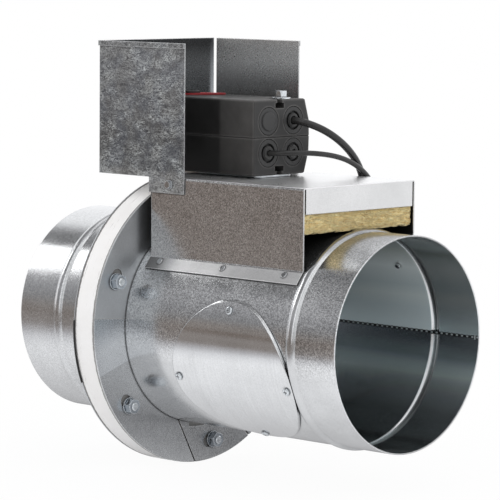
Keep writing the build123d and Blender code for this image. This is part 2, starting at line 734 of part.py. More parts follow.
for y, z in port_places.values():
    housing -= rod((port_floor, y, z), (actuator_end_x + 1, y, z), port_recess_diameter / 2)
for end_z, step in ((actuator_top_z, -1), (actuator_bottom_z, 1)):
    z_stem = end_z + step * notch_stem_height
    z0, z1 = sorted((end_z - step, z_stem))
    slot = block(actuator_end_x - notch_depth, actuator_end_x + 1, notch_y - notch_stem_width / 2,
                 notch_y + notch_stem_width / 2, z0, z1)
    z0, z1 = sorted((z_stem - step * 0.01, z_stem + step * notch_height))
    slot += block(actuator_end_x - notch_depth, actuator_end_x + 1, notch_y - notch_width / 2,
                  notch_y + notch_width / 2, z0, z1)
    housing -= slot
housing -= rod((cover_bolt_x, cover_bolt_y, actuator_top_z - cover_bolt_depth - 0.4),
               (cover_bolt_x, cover_bolt_y, actuator_top_z + 1), cover_bolt_shank / 2 + 0.1)
big = 400.0
lower_half = block(-big, big, -big, big, actuator_bottom_z - 5, actuator_split_z)
upper_half = block(-big, big, -big, big, actuator_split_z, actuator_top_z + 5)


def half_housing(cutter):
    """One housing half, its outer edge at the parting plane broken by a small groove."""
    half = housing & cutter
    face = half.faces().filter_by(Plane.XY).filter_by(lambda f: abs(f.center().Z - actuator_split_z) < 0.01)[0]
    return chamfer(face.outer_wire().edges(), split_groove)


parts["actuator_lower_housing"] = half_housing(lower_half)
parts["actuator_upper_housing"] = half_housing(upper_half)
sleeve = rod((0, 0, actuator_bottom_z + 0.2), (0, 0, actuator_top_z), spindle_r - spindle_running_gap)
parts["actuator_spindle"] = sleeve - rod((0, 0, 0), (0, 0, 2 * actuator_top_z), shaft_r + 0.05)

plate = block(plate_back_x, plate_end_x, -plate_width / 2, plate_width / 2, plate_bottom_z, plate_top_z)
plate = fillet(plate.edges().filter_by(Axis.Z), 6)
plate -= rod((0, 0, plate_bottom_z - 1), (0, 0, plate_top_z + 1), shaft_r + 2)
pin_x = actuator_end_x - notch_depth * 0.6
pin_top = actuator_bottom_z + notch_stem_height + notch_height - 0.4
plate += rod((pin_x, notch_y, plate_top_z - 0.1), (pin_x, notch_y, pin_top), pin_diameter / 2)
parts["actuator_plate"] = plate

indicator_z = actuator_top_z + stack_gap
pointer_tip = (indicator_radius - indicator_tip, 0)
pointer = make_hull(Circle(indicator_root).edges() + (Pos(*pointer_tip) * Circle(indicator_tip)).edges())
pointer = extrude(pointer, indicator_sheet) - Cylinder(shaft_r + 0.05, 10)
parts["position_indicator"] = Pos(0, 0, indicator_z) * Rot(0, 0, indicator_angle) * pointer
hub = Pos(0, 0, hub_height / 2) * Cylinder(hub_diameter / 2, hub_height)
hub = fillet(hub.edges().sort_by(Axis.Z)[-1], 0.8) - Cylinder(shaft_r + 0.05, 20)
parts["spindle_hub"] = Pos(0, 0, indicator_z + indicator_sheet) * hub


def entry(place, kind, hole, line=None):
    """A round cable entry in its recess: a blank with a dome, or a stepped rubber grommet."""
    y, z = port_places[place]
    depth = port_recess_depth - 0.2
    body = Pos(0, 0, depth / 2) * Cylinder(port_body_diameter / 2, depth)
    if kind == "blank":
        dome = Cylinder(port_dome_diameter / 2, port_dome_height)
        body += Pos(0, 0, depth + port_dome_height / 2 - 0.01) * fillet(dome.edges().sort_by(Axis.Z)[-1], 1.2)
    else:
        groove_out = port_dome_diameter / 2
        groove = Cylinder(groove_out, 5) - Cylinder(groove_out - grommet_groove, 6)
        body -= Pos(0, 0, depth - 0.5) * groove
        boss = Pos(0, 0, depth) * Cylinder(groove_out - grommet_groove - 0.8, 2.4)
        body += fillet(boss.edges().sort_by(Axis.Z)[-1], 0.8)
    body = Plane(origin=(port_floor + 0.1, y, z), z_dir=(1, 0, 0)) * body
    if line is not None:
        start, end = Vector(*line[0]), Vector(*line[1])
        step = end - start
        body -= rod(start - step, end + step, hole)
    return body


parts["port_blank"] = entry("high_near", "blank", 0)
open_y, open_z = port_places["low_far"]
parts["thick_grommet"] = entry("high_far", "grommet", thick_diameter / 2 + cable_hole_gap, thick_route)
parts["thin_grommet"] = entry("low_near", "grommet", thin_diameter / 2 + cable_hole_gap, thin_route)
parts["open_grommet"] = entry("low_far", "grommet", thin_diameter / 2 + cable_hole_gap,
                               [(port_floor, open_y, open_z), (actuator_end_x, open_y, open_z)])

bolt_shank = rod((cover_bolt_x, cover_bolt_y, actuator_top_z - cover_bolt_depth),
                 (cover_bolt_x, cover_bolt_y, actuator_top_z + cover_bolt_washer_height + 1), cover_bolt_shank / 2)
bolt_head = Pos(cover_bolt_x, cover_bolt_y, actuator_top_z + cover_bolt_washer_height) * Rot(0, 0, 12) * (
    hexagon(cover_bolt_flats, cover_bolt_height)
    & Pos(0, 0, cover_bolt_height / 2) * Cone(cover_bolt_flats * 0.62, cover_bolt_flats * 0.52, cover_bolt_height))
parts["actuator_bolt"] = bolt_shank + bolt_head
washer = Cylinder(cover_bolt_washer / 2, cover_bolt_washer_height) - Cylinder(cover_bolt_shank / 2 + 0.1, 5)
parts["actuator_washer"] = Pos(cover_bolt_x, cover_bolt_y,
                               actuator_top_z + cover_bolt_washer_height / 2) * washer

# Cables

parts["thick_cable"] = cord_tube(thick_route, thick_diameter, "thick lead")
parts["thin_cable"] = cord_tube(thin_route, thin_diameter, "thin lead")
parts["thick_cable_tail"] = cord_tube(thick_tail, thick_diameter, "thick tail")
parts["thin_cable_tail"] = cord_tube(thin_tail, thin_diameter, "thin tail")
thick_coil_r = 6 * thick_diameter
thin_coil_r = 5.4 * thin_diameter
parts["thick_cable_coil"] = coil_ring(2, 2, thick_coil_r, thick_diameter)
parts["thin_cable_coil"] = coil_ring(2, 3, thin_coil_r, thin_diameter)


def core_ends(tail, count, circle):
    """The stripped cores of a cable, and the ferrules crimped on them."""
    before, last = Vector(*tail[-2]), Vector(*tail[-1])
    plane = Plane(origin=last, z_dir=last - before)
    cores, ferrules = [], []
    for i in range(count):
        turn = 360 / count * i
        place = Pos(circle / 2 * cos(radians(turn)), circle / 2 * sin(radians(turn)), 0)
        cores.append(plane * place * Pos(0, 0, core_length / 2) * Cylinder(core_diameter / 2, core_length))
        tip = Pos(0, 0, core_length + ferrule_length / 2) * Cylinder(ferrule_diameter / 2, ferrule_length)
        ferrules.append(plane * place * tip)
    return cores, ferrules


thick_cores, thick_ferrules = core_ends(thick_tail, 6, core_circle)
thin_cores, thin_ferrules = core_ends(thin_tail, 2, core_circle * 0.6)
parts["thick_cable_cores"] = Compound(children=thick_cores)
parts["thin_cable_cores"] = Compound(children=thin_cores)
parts["core_ferrules"] = Compound(children=thick_ferrules + thin_ferrules)


def cable_tie(turn):
    """A tie round both coils, at an angle about the coils' axis."""
    inner = thin_coil_r - thin_diameter - 0.4
    outer = thick_coil_r + thick_diameter + 0.4
    wide = 1.5 * thin_diameter + 0.4
    band = block(inner - tie_thickness, outer + tie_thickness, -tie_width / 2, tie_width / 2,
                 -wide - tie_thickness, wide + tie_thickness)
    band -= block(inner, outer, -tie_width, tie_width, -wide, wide)
    head = block(outer - 6, outer, -tie_width / 2 - 0.8, tie_width / 2 + 0.8, wide + tie_thickness,
                 wide + tie_thickness + 3)
    return coil_frame() * Rot(0, 0, turn) * (band + head)


parts["cable_ties"] = Compound(children=[cable_tie(turn) for turn in (35, 155)])

os.makedirs("parts", exist_ok=True)
for name, shape in parts.items():
    export_step(shape, "parts/" + name + ".step")
print(len(parts), "parts")
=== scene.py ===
import math
import bpy
import numpy as np
from mathutils import Matrix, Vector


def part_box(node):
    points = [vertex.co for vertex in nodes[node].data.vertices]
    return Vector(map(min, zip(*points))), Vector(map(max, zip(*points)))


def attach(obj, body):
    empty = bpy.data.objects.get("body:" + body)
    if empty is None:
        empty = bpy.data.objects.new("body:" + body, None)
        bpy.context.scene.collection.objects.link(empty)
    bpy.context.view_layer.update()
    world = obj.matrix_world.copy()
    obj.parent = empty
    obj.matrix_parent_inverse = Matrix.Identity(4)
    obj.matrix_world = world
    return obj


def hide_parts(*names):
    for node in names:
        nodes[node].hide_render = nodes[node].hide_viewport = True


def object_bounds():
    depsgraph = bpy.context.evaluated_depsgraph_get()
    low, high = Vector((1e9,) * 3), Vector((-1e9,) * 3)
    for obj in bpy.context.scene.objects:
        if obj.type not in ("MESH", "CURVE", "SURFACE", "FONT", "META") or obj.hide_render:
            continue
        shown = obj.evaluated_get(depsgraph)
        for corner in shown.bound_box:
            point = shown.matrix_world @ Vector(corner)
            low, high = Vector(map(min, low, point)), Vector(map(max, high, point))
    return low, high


# The looks of a round fire damper: zinc coated sheet, a calcium silicate ring, an actuator on a
# wool filled console, and the studio that it is shown in. Metres, +X along the duct, +Z up.

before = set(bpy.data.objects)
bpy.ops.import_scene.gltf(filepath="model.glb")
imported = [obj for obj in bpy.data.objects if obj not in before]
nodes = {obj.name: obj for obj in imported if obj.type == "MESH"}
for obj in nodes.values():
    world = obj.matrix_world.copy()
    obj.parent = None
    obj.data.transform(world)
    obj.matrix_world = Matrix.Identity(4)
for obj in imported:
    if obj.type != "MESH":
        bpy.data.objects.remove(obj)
cad_box = [list(corner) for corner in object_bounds()]
shell = "shell"

DUCT_R, WALL = 0.0995, 0.00125
BORE_R = DUCT_R - WALL
NEAR_BEAD = 0.2275
BOARD_HALF = 0.0125


# Camera, lamps and ground


def facing(right, up, back, place):
    """The matrix of a thing whose own X, Y and Z axes point right, up and back."""
    return Matrix([(right[i], up[i], back[i], place[i]) for i in range(3)] + [(0, 0, 0, 1)])


FRAME_WIDTH, FOCAL_LENGTH = 500, 3024.57    # in pixels
SENSOR_WIDTH = 36.0


def look_through():
    """The camera: its right, up and back directions as measured against the duct's own axes."""
    right = (0.7172, 0.6968, 0.0080)
    up = (-0.0756, 0.0664, 0.9949)
    back = (0.6927, -0.7142, 0.1003)
    place = (2.06097, -2.04229, 0.35799)
    lens = bpy.data.cameras.new("camera")
    lens.sensor_width = SENSOR_WIDTH
    lens.lens = FOCAL_LENGTH / FRAME_WIDTH * SENSOR_WIDTH
    lens.clip_end = 40.0
    camera = bpy.data.objects.new("camera", lens)
    bpy.context.scene.collection.objects.link(camera)
    camera.matrix_world = facing(right, up, back, place)
    bpy.context.scene.camera = camera


def softbox(name, place, target, width, height, power):
    """A rectangular lamp that faces its target."""
    lamp = bpy.data.lights.new(name, "AREA")
    lamp.shape = "RECTANGLE"
    lamp.size, lamp.size_y = width, height
    lamp.energy = power
    box = bpy.data.objects.new(name, lamp)
    bpy.context.scene.collection.objects.link(box)
    back = np.array(place, float) - np.array(target, float)
    back /= np.linalg.norm(back)
    right = np.cross((0, 0, 1), back)
    right /= np.linalg.norm(right)
    up = np.cross(back, right)
    box.matrix_world = facing(right, up, back, place)


class Finish:
    """One material's nodes. Each method adds a node and gives its output, to be fed to the next."""

    def __init__(self, name, tree=None):
        self.material = None
        if tree is None:
            self.material = bpy.data.materials.new(name)
            self.material.use_nodes = True
            tree = self.material.node_tree
        self.tree = tree
        self.tree.nodes.clear()

    def add(self, kind, inputs=(), output=0, **settings):
        """A node of this kind, with its settings, and its inputs as values or as other outputs."""
        node = self.tree.nodes.new(kind)
        for key, value in settings.items():
            setattr(node, key, value)
        for key, value in dict(inputs).items():
            if isinstance(value, bpy.types.NodeSocket):
                self.tree.links.new(value, node.inputs[key])
            else:
                node.inputs[key].default_value = value
        return node.outputs[output] if len(node.outputs) else None

    def place(self, stretch=(1, 1, 1), turn=(0, 0, 0)):
        """Object coordinates, stretched and turned about the frame's origin."""
        where = self.add("ShaderNodeTexCoord", output="Object")
        return self.add("ShaderNodeMapping", {"Vector": where, "Scale": stretch, "Rotation": turn})

    def noise(self, where, scale, detail=2.0, rough=0.5, twist=0.0):
        return self.add("ShaderNodeTexNoise", {"Vector": where, "Scale": scale, "Detail": detail,
                                               "Roughness": rough, "Distortion": twist})

    def cells(self, where, scale):
        """A random value for each crystal."""
        colour = self.add("ShaderNodeTexVoronoi", {"Vector": where, "Scale": scale}, "Color")
        return self.add("ShaderNodeSeparateColor", {"Color": colour}, "Red")

    def spread(self, value, low, high, to_low=0.0, to_high=1.0):
        """Maps a value from one range to another, held at both ends."""
        return self.add("ShaderNodeMapRange", {"Value": value, "From Min": low, "From Max": high,
                                               "To Min": to_low, "To Max": to_high})

    def reckon(self, kind, first, *others):
        """Works through the values from left to right with one operation."""
        for other in others:
            first = self.add("ShaderNodeMath", {0: first, 1: other}, operation=kind)
        return first

    def sum(self, *values):
        return self.reckon("ADD", *values)

    def times(self, *values):
        return self.reckon("MULTIPLY", *values)

    def less(self, whole, part):
        return self.reckon("SUBTRACT", whole, part)

    def most(self, *values):
        return self.reckon("MAXIMUM", *values)

    def apart(self, value, place=0.0):
        """How far a value lies from a place, either way."""
        return self.add("ShaderNodeMath", {0: self.less(value, place)}, operation="ABSOLUTE")

    def axes(self, where):
        """The X, the Y and the Z of a vector."""
        return [self.add("ShaderNodeSeparateXYZ", {0: where}, axis) for axis in "XYZ"]

    def length(self, vector):
        return self.add("ShaderNodeVectorMath", {0: vector}, "Value", operation="LENGTH")

    def ray(self, kind):
        """One for a ray of this kind, and zero for all others."""
        return self.add("ShaderNodeLightPath", output=kind)

    def blend(self, share, a, b, kind="MIX"):
        """A mix of two colours, b taking its share."""
        node = self.tree.nodes.new("ShaderNodeMix")
        node.data_type = "RGBA"
        node.blend_type = kind
        for index, value in ((0, share), (6, a), (7, b)):
            if isinstance(value, bpy.types.NodeSocket):
                self.tree.links.new(value, node.inputs[index])
            elif index == 0:
                node.inputs[index].default_value = value
            else:
                node.inputs[index].default_value = (*value, 1.0)
        return node.outputs[2]

    def ramp(self, share, stops):
        """A colour that runs through stops of (place, colour)."""
        node = self.tree.nodes.new("ShaderNodeValToRGB")
        self.tree.links.new(share, node.inputs[0])
        elements = node.color_ramp.elements
        while len(elements) < len(stops):
            elements.new(0.5)
        for element, (spot, colour) in zip(elements, stops):
            element.position = spot
            element.color = (*colour, 1.0)
        return node.outputs[0]

    def shaded(self, colour, light):
        """A colour times a light from 0 to 1."""
        shade = self.add("ShaderNodeCombineColor", {"Red": light, "Green": light, "Blue": light})
        return self.blend(1.0, colour, shade, "MULTIPLY")

    def edges(self, radius):
        """The normal with every sharp edge rounded a little, so that it catches the light."""
        return self.add("ShaderNodeBevel", {"Radius": radius}, samples=6)

    def edge_highlight(self, radius):
        """One on a sharp edge and zero on the flats, from how far the rounded normal leans: the mask for
        painted highlights on edges.
        """
        flat = self.add("ShaderNodeNewGeometry", output="Normal")
        lean = self.add("ShaderNodeVectorMath", {0: self.edges(radius), 1: flat}, "Value",
                        operation="DOT_PRODUCT")
        return self.spread(lean, 0.985, 0.86)

    def crease_shade(self, dark, distance=0.0025, shut=0.45, wide=0.92):
        """Painted shade: one in the open, and dark in a crease, where little light comes."""
        open_air = self.add("ShaderNodeAmbientOcclusion", {"Distance": distance}, "AO", samples=8)
        return self.spread(open_air, shut, wide, dark, 1.0)

    def bump(self, height, strength, distance, normal=None):
        inputs = {"Height": height, "Strength": strength, "Distance": distance}
        if normal:
            inputs["Normal"] = normal
        return self.add("ShaderNodeBump", inputs)

    def surface(self, **inputs):
        """The shader, its sockets named with underscores for spaces."""
        named = {key.replace("_", " "): value for key, value in inputs.items()}
        shader = self.add("ShaderNodeBsdfPrincipled", named)
        self.add("ShaderNodeOutputMaterial", {"Surface": shader})
        return self.material


def grey(value, warm=0.0):
    """A grey, warmer or cooler by a small step."""
    return (value * (1 + warm), value, value * (1 - warm))


def studio():
    """White around the camera's view, and soft light from above. For the metal: a white sweep behind
    the object, a dull wall in front of it on the left, a grey room on the right, two pale strips, and a
    dull ceiling."""
    world = bpy.data.worlds.new("studio")
    bpy.context.scene.world = world
    world.use_nodes = True
    room = Finish("studio", world.node_tree)
    x, y, z = room.axes(room.add("ShaderNodeTexCoord", output="Generated"))
    height = room.spread(z, -1.0, 1.0)
    side = room.spread(x, -1.0, 1.0)
    share = room.ramp(side, ROOM_SHARE)
    front = room.blend(share, room.ramp(height, WALL_TONES), room.ramp(height, ROOM_TONES))
    front = room.blend(1.0, front, room.ramp(side, STRIPS), "ADD")
    sweep = room.blend(room.spread(z, 0.66, 0.84), SWEEP_TONE, CEILING_TONE)
    seen = room.blend(room.spread(y, 0.06, 0.26), front, sweep)
    seen = room.blend(room.spread(z, 0.92, 0.97), seen, CEILING_TONE)
    gentle = room.blend(room.spread(z, -0.3, 0.5), LOW_LIGHT, HIGH_LIGHT)
    weaker = room.blend(RIGHT_SHADE, gentle, (0.0, 0.0, 0.0))
    gentle = room.blend(room.spread(x, -0.6, 0.9), gentle, weaker)
    soft = room.add("ShaderNodeBackground", {"Color": gentle, "Strength": 1.0})
    mirror = room.add("ShaderNodeBackground", {"Color": seen, "Strength": 1.0})
    white = room.add("ShaderNodeBackground", {"Color": (1.0, 1.0, 1.0, 1.0), "Strength": 1.0})
    first = room.add("ShaderNodeMixShader", {0: room.ray("Is Glossy Ray"), 1: soft, 2: mirror})
    through = room.most(room.ray("Is Camera Ray"), room.ray("Is Transmission Ray"))
    last = room.add("ShaderNodeMixShader", {0: through, 1: first, 2: white})
    room.add("ShaderNodeOutputWorld", {"Surface": last})
    world.cycles.sampling_method = "NONE"


def ground():
    """A pale floor just under the ring's lowest point. The camera sees it white, with the object's shadow,
    and the metal sees it with a painted shadow under the object and darker along the table on the left."""
    z = cad_box[0][2] - FLOOR_GAP
    mesh = bpy.data.meshes.new("floor")
    mesh.from_pydata([(-8, -8, z), (8, -8, z), (8, 8, z), (-8, 8, z)], [], [(0, 1, 2, 3)])
    floor = bpy.data.objects.new("floor", mesh)
    bpy.context.scene.collection.objects.link(floor)
    paper = Finish("floor")
    where = paper.add("ShaderNodeTexCoord", output="Object")
    x, y, _ = paper.axes(where)
    far = paper.length(where)
    outward = paper.sum(x, paper.times(y, 2.0))
    table = paper.ramp(paper.spread(outward, -5.0, 0.0), TABLE_TONES)
    # Painted shadow under the object, seen only in the metal's reflections.
    under = paper.ramp(paper.spread(y, -0.40, 0.60), UNDER_SHADOW_TONES)
    near = paper.spread(paper.sum(far, paper.times(y, -0.3)), 0.30, 0.60)
    pale = paper.blend(near, under, FLOOR_TONE)
    left = paper.blend(1.0, table, pale, "MULTIPLY")
    tone = paper.blend(paper.spread(y, -0.02, 0.10), left, pale)
    cloth = paper.add("ShaderNodeBsdfDiffuse", {"Color": (0.90, 0.905, 0.915, 1.0)})
    glow = paper.add("ShaderNodeEmission", {"Color": (1, 1, 1, 1), "Strength": 1.0})
    mirrored = paper.add("ShaderNodeEmission", {"Color": tone, "Strength": 1.0})
    white = paper.times(paper.ray("Is Camera Ray"), paper.spread(far, 0.25, 0.6, 0.955, 1.0))
    both = paper.add("ShaderNodeMixShader", {0: white, 1: cloth, 2: glow})
    shown = paper.add("ShaderNodeMixShader", {0: paper.ray("Is Glossy Ray"), 1: both, 2: mirrored})
    paper.add("ShaderNodeOutputMaterial", {"Surface": shown})
    mesh.materials.append(paper.material)


FLOOR_GAP = 0.0005
# The tones below are by height from straight down, 0, to straight up, 1. The share of the room against
# the wall and the strips are by place from -X, 0, to +X, 1.
WALL_TONES = ((0.0, (0.20, 0.18, 0.17)), (0.40, (0.20, 0.175, 0.16)), (0.52, (0.23, 0.20, 0.18)),
              (0.57, (0.22, 0.22, 0.225)), (0.62, (0.27, 0.27, 0.28)), (0.68, (0.34, 0.34, 0.35)),
              (0.74, (0.31, 0.31, 0.32)), (0.80, (0.20, 0.20, 0.205)), (0.86, (0.14, 0.14, 0.145)),
              (1.0, (0.30, 0.30, 0.31)))
ROOM_TONES = ((0.0, (0.72, 0.73, 0.74)), (0.45, (0.64, 0.65, 0.66)), (0.60, (0.72, 0.73, 0.74)),
              (1.0, (1.10, 1.11, 1.12)))
ROOM_SHARE = ((0.0, (0.0, 0.0, 0.0)), (0.38, (0.0, 0.0, 0.0)), (0.44, (0.25, 0.25, 0.25)),
              (0.60, (0.45, 0.45, 0.45)), (0.68, (1.0, 1.0, 1.0)), (1.0, (1.0, 1.0, 1.0)))
STRIPS = ((0.0, (0.8, 0.8, 0.82)), (0.05, (0.8, 0.8, 0.82)), (0.09, (0.0, 0.0, 0.0)),
          (0.44, (0.0, 0.0, 0.0)), (0.48, (0.9, 0.9, 0.92)), (0.53, (0.9, 0.9, 0.92)),
          (0.57, (0.0, 0.0, 0.0)), (1.0, (0.0, 0.0, 0.0)))
RIGHT_SHADE = 0.16
SWEEP_TONE = (1.10, 1.105, 1.12)
CEILING_TONE = (0.42, 0.42, 0.43)
LOW_LIGHT = (0.66, 0.66, 0.67)
HIGH_LIGHT = (1.0, 1.0, 1.01)
FLOOR_TONE = (1.04, 1.045, 1.06)
# The table's tones run in along the floor from the far left front to the object, and the last ones, a
# painted shadow, from -Y to +Y under the object.
TABLE_TONES = ((0.0, (0.165, 0.130, 0.108)), (0.14, (0.20, 0.17, 0.15)), (0.42, (0.25, 0.22, 0.20)),
               (0.70, (0.22, 0.19, 0.17)), (0.785, (0.50, 0.49, 0.50)),
               (0.83, (0.82, 0.82, 0.83)), (0.875, (1.0, 1.0, 1.0)), (1.0, (1.0, 1.0, 1.0)))
UNDER_SHADOW_TONES = ((0.0, (1.04, 1.045, 1.06)), (0.25, (0.93, 0.935, 0.95)), (0.36, (0.66, 0.66, 0.67)),
               (0.42, (0.52, 0.52, 0.53)), (0.52, (0.26, 0.26, 0.27)), (0.70, (0.26, 0.26, 0.27)),
               (1.0, (0.9, 0.9, 0.92)))

look_through()
studio()
ground()
softbox("left softbox", place=(-0.99, -0.47, 0.67), target=(-0.1, -0.06, 0.07), width=0.30, height=0.44,
        power=1.3)
softbox("top softbox", place=(0.25, 0.20, 1.6), target=(0.1, 0, 0), width=1.5, height=1.2, power=3.0)
bpy.context.scene.view_settings.view_transform = "Standard"


# The actuator's two leads. Each is one line: out of its port, over the console's rear edge, round its
# coil behind the console, and on to the tail where the bare cores begin.

COIL_MIDDLE = np.array((0.1005, 0.0915, 0.0900))
COIL_ALONG = np.array((1.0, 0.0, 0.0))
COIL_DOWN = np.array((0.0, 0.14263, -0.98978))
COIL_AWAY = np.array((0.0, 0.98978, 0.14263))
POINTS_PER_TURN = 24
STATION_UNITS = np.array((1.0, 0.001, 0.001))    # turns, and millimetres as metres


def wound(first, last, stations):
    """A coil's points from one angle to another, in turns: the radius and the height over the coil's
    middle plane run straight between stations of (turns, radius, height)."""
    at, radius, height = (np.array(stations) * STATION_UNITS).T
    turns = np.linspace(first, last, int(round((last - first) * POINTS_PER_TURN)) + 1)
    r, h = np.interp(turns, at, radius), np.interp(turns, at, height)
    angle = 2 * np.pi * turns
    return (COIL_MIDDLE + np.outer(r * np.cos(angle), COIL_ALONG) + np.outer(r * np.sin(angle), COIL_DOWN)
            + np.outer(h, COIL_AWAY))


def lead(name, points, diameter):
    """One smooth line through the route's points, as thick as the cable."""
    curve = bpy.data.curves.new(name, "CURVE")
    curve.dimensions = "3D"
    curve.bevel_depth = 1.0
    curve.bevel_resolution = 6
    curve.resolution_u = 5
    curve.use_fill_caps = True
    line = curve.splines.new("NURBS")
    line.points.add(len(points) - 1)
    line.points.foreach_set("co", np.column_stack([points, np.ones(len(points))]).ravel())
    line.points.foreach_set("radius", np.full(len(points), diameter / 2))
    line.order_u = 3
    line.use_endpoint_u = True
    piece = bpy.data.objects.new(name, curve)
    bpy.context.scene.collection.objects.link(piece)
    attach(piece, shell)
    return piece


thick_out = np.array([
    (109.9, 17.3, 195.8), (121.0, 19.2, 195.0), (134.5, 24.6, 191.8), (145.0, 34.0, 185.6),
    (151.0, 46.5, 176.4), (152.3, 60.5, 165.2), (150.5, 74.0, 152.2), (147.5, 84.0, 137.5),
    (145.6, 87.6, 120.5), (145.4, 87.6, 103.5),
]) / 1000
thick_tail = np.array([(88.0, 99.2, 44.6), (81.0, 99.2, 44.0), (74.0, 99.3, 43.2)]) / 1000
# Four places in the bundle, outer and inner, near and away: a turn changes its place once a round.
thick_wind = wound(0.0, 3.262, [
    (0.0, 45.9, -3.5), (0.77, 45.9, -3.5), (0.97, 38.8, -3.5), (1.55, 38.8, -3.5), (1.75, 38.8, 3.6),
    (2.33, 38.8, 3.6), (2.53, 45.9, 3.6), (3.30, 45.9, 3.6),
])
thin_out = np.array([
    (109.2, -15.4, 165.2), (121.0, -13.6, 165.6), (134.5, -8.0, 166.2), (145.5, 2.5, 166.6),
    (152.6, 17.0, 165.6), (156.0, 34.0, 163.0), (156.8, 51.5, 158.2), (156.5, 68.5, 150.5),
    (155.5, 83.5, 139.8), (153.0, 94.5, 126.0), (148.0, 101.0, 110.5), (140.5, 104.2, 95.5),
]) / 1000
thin_tail = np.array([(88.5, 105.6, 60.6), (81.0, 106.8, 59.4), (74.0, 107.1, 58.2)]) / 1000
# The thin lead comes in over its coil, winds down the inner layer and back up the outer one.
thin_wind = wound(0.04, 4.262, [
    (0.04, 32.0, 10.2), (0.34, 24.7, 10.3), (0.59, 24.7, 5.1), (2.59, 24.7, -5.0), (2.86, 29.8, -5.0),
    (4.262, 29.8, 5.0),
])
thick_lead = lead("thick_lead", np.vstack([thick_out, thick_wind[1:], thick_tail]), diameter=0.007)
thin_lead = lead("thin_lead", np.vstack([thin_out, thin_wind, thin_tail]), diameter=0.005)
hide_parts("thick_cable", "thick_cable_coil", "thick_cable_tail")
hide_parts("thin_cable", "thin_cable_coil", "thin_cable_tail")


# Pieces of sheet and wool


def piece_of(name, points, faces):
    """One smooth mesh piece of the shell, from an array of points and one of corners."""
    mesh = bpy.data.meshes.new(name)
    mesh.from_pydata(points.reshape(-1, 3).tolist(), [], faces.tolist())
    mesh.polygons.foreach_set("use_smooth", np.full(len(faces), True))
    mesh.update()
    made = bpy.data.objects.new(name, mesh)
    bpy.context.scene.collection.objects.link(made)
    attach(made, shell)
    return made


def net(rows, columns):
    """The four corners of each face of a tube of points: rows along it, and columns closed round it."""
    row, column = (part.ravel() for part in np.indices((rows - 1, columns)))
    after, beside = row + 1, (column + 1) % columns
    return np.column_stack([row * columns + column, row * columns + beside,
                            after * columns + beside, after * columns + column])


def patches(shape, steps, seed):
    """Smooth random heights from 0 to 1 on a grid: random numbers at a few knots, blended by a cosine."""
    random = np.random.default_rng(seed).random((steps[0] + 2, steps[1] + 2))
    u = np.linspace(0, steps[0], shape[0])[:, None]
    v = np.linspace(0, steps[1], shape[1])[None, :]
    i, j = u.astype(int), v.astype(int)
    a, b = [(1 - np.cos(np.pi * (w - k))) / 2 for w, k in ((u, i), (v, j))]
    return ((random[i, j] * (1 - a) + random[i + 1, j] * a) * (1 - b)
            + (random[i, j + 1] * (1 - a) + random[i + 1, j + 1] * a) * b)


SEAM_Z, SEAM_START, SEAM_END = -0.0017, 0.030, 0.2798
STITCH, SPOT_X, SPOT_SPREAD = 0.0062, 0.2761, 0.0012
RIB_HEIGHT, STITCH_HEIGHT, SPOT_HEIGHT = 0.00006, 0.00012, 0.0005
RIB_HALF, STITCH_HALF, SPOT_HALF = 0.0016, 0.0002, 0.0010
SUNK, BEHIND = 0.00012, 0.0004    # how far the rib's edges and its back reach into the sheet
FADE = 0.002


def seam_inside():
    """The lap seam inside the near tube: a low rib along X whose height is a flat base plus a round
    stitch every 6.2 mm, as the positive part of a cosine raised to a power, and plus one pressed spot
    near the mouth, as a Gaussian. Across, the height falls off as one less the fourth power."""
    along = np.linspace(SEAM_START, SEAM_END, 1400)
    across = np.linspace(-1, 1, 9)
    wave = np.clip(np.cos(2 * np.pi * along / STITCH), 0, 1) ** 0.6
    fade = np.clip((along - SEAM_START) / FADE, 0, 1) * np.clip((SEAM_END - along) / FADE, 0, 1)
    spot = np.exp(-((along - SPOT_X) / SPOT_SPREAD) ** 2)
    crest = RIB_HEIGHT + STITCH_HEIGHT * wave * fade + SPOT_HEIGHT * spot
    high = crest[:, None] * (1 - across ** 4)[None, :]
    width = (RIB_HALF + STITCH_HALF * wave + SPOT_HALF * spot)[:, None]
    z = SEAM_Z + width * across[None, :]
    r = BORE_R - high + SUNK * (np.abs(across) == 1)[None, :]
    top = np.stack([np.broadcast_to(along[:, None], z.shape), np.sqrt(r ** 2 - z ** 2), z], -1)
    under = top[:, 1:-1][:, ::-1].copy()
    under[..., 1] = np.sqrt((BORE_R + BEHIND) ** 2 - under[..., 2] ** 2)
    ring = np.concatenate([top, under], 1)
    columns = ring.shape[1]
    tips = [np.broadcast_to(ring[k].mean(0), (1, columns, 3)) for k in (0, -1)]
    closed = np.concatenate([tips[0], ring, tips[1]], 0)
    return piece_of("seam_inside", closed, net(len(along) + 2, columns))


wool_low, wool_high = (np.array(corner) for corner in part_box("console_wool"))
WOOL_ROWS = 420
TUFT_DEPTH, RIPPLE_DEPTH = 0.0016, 0.0005


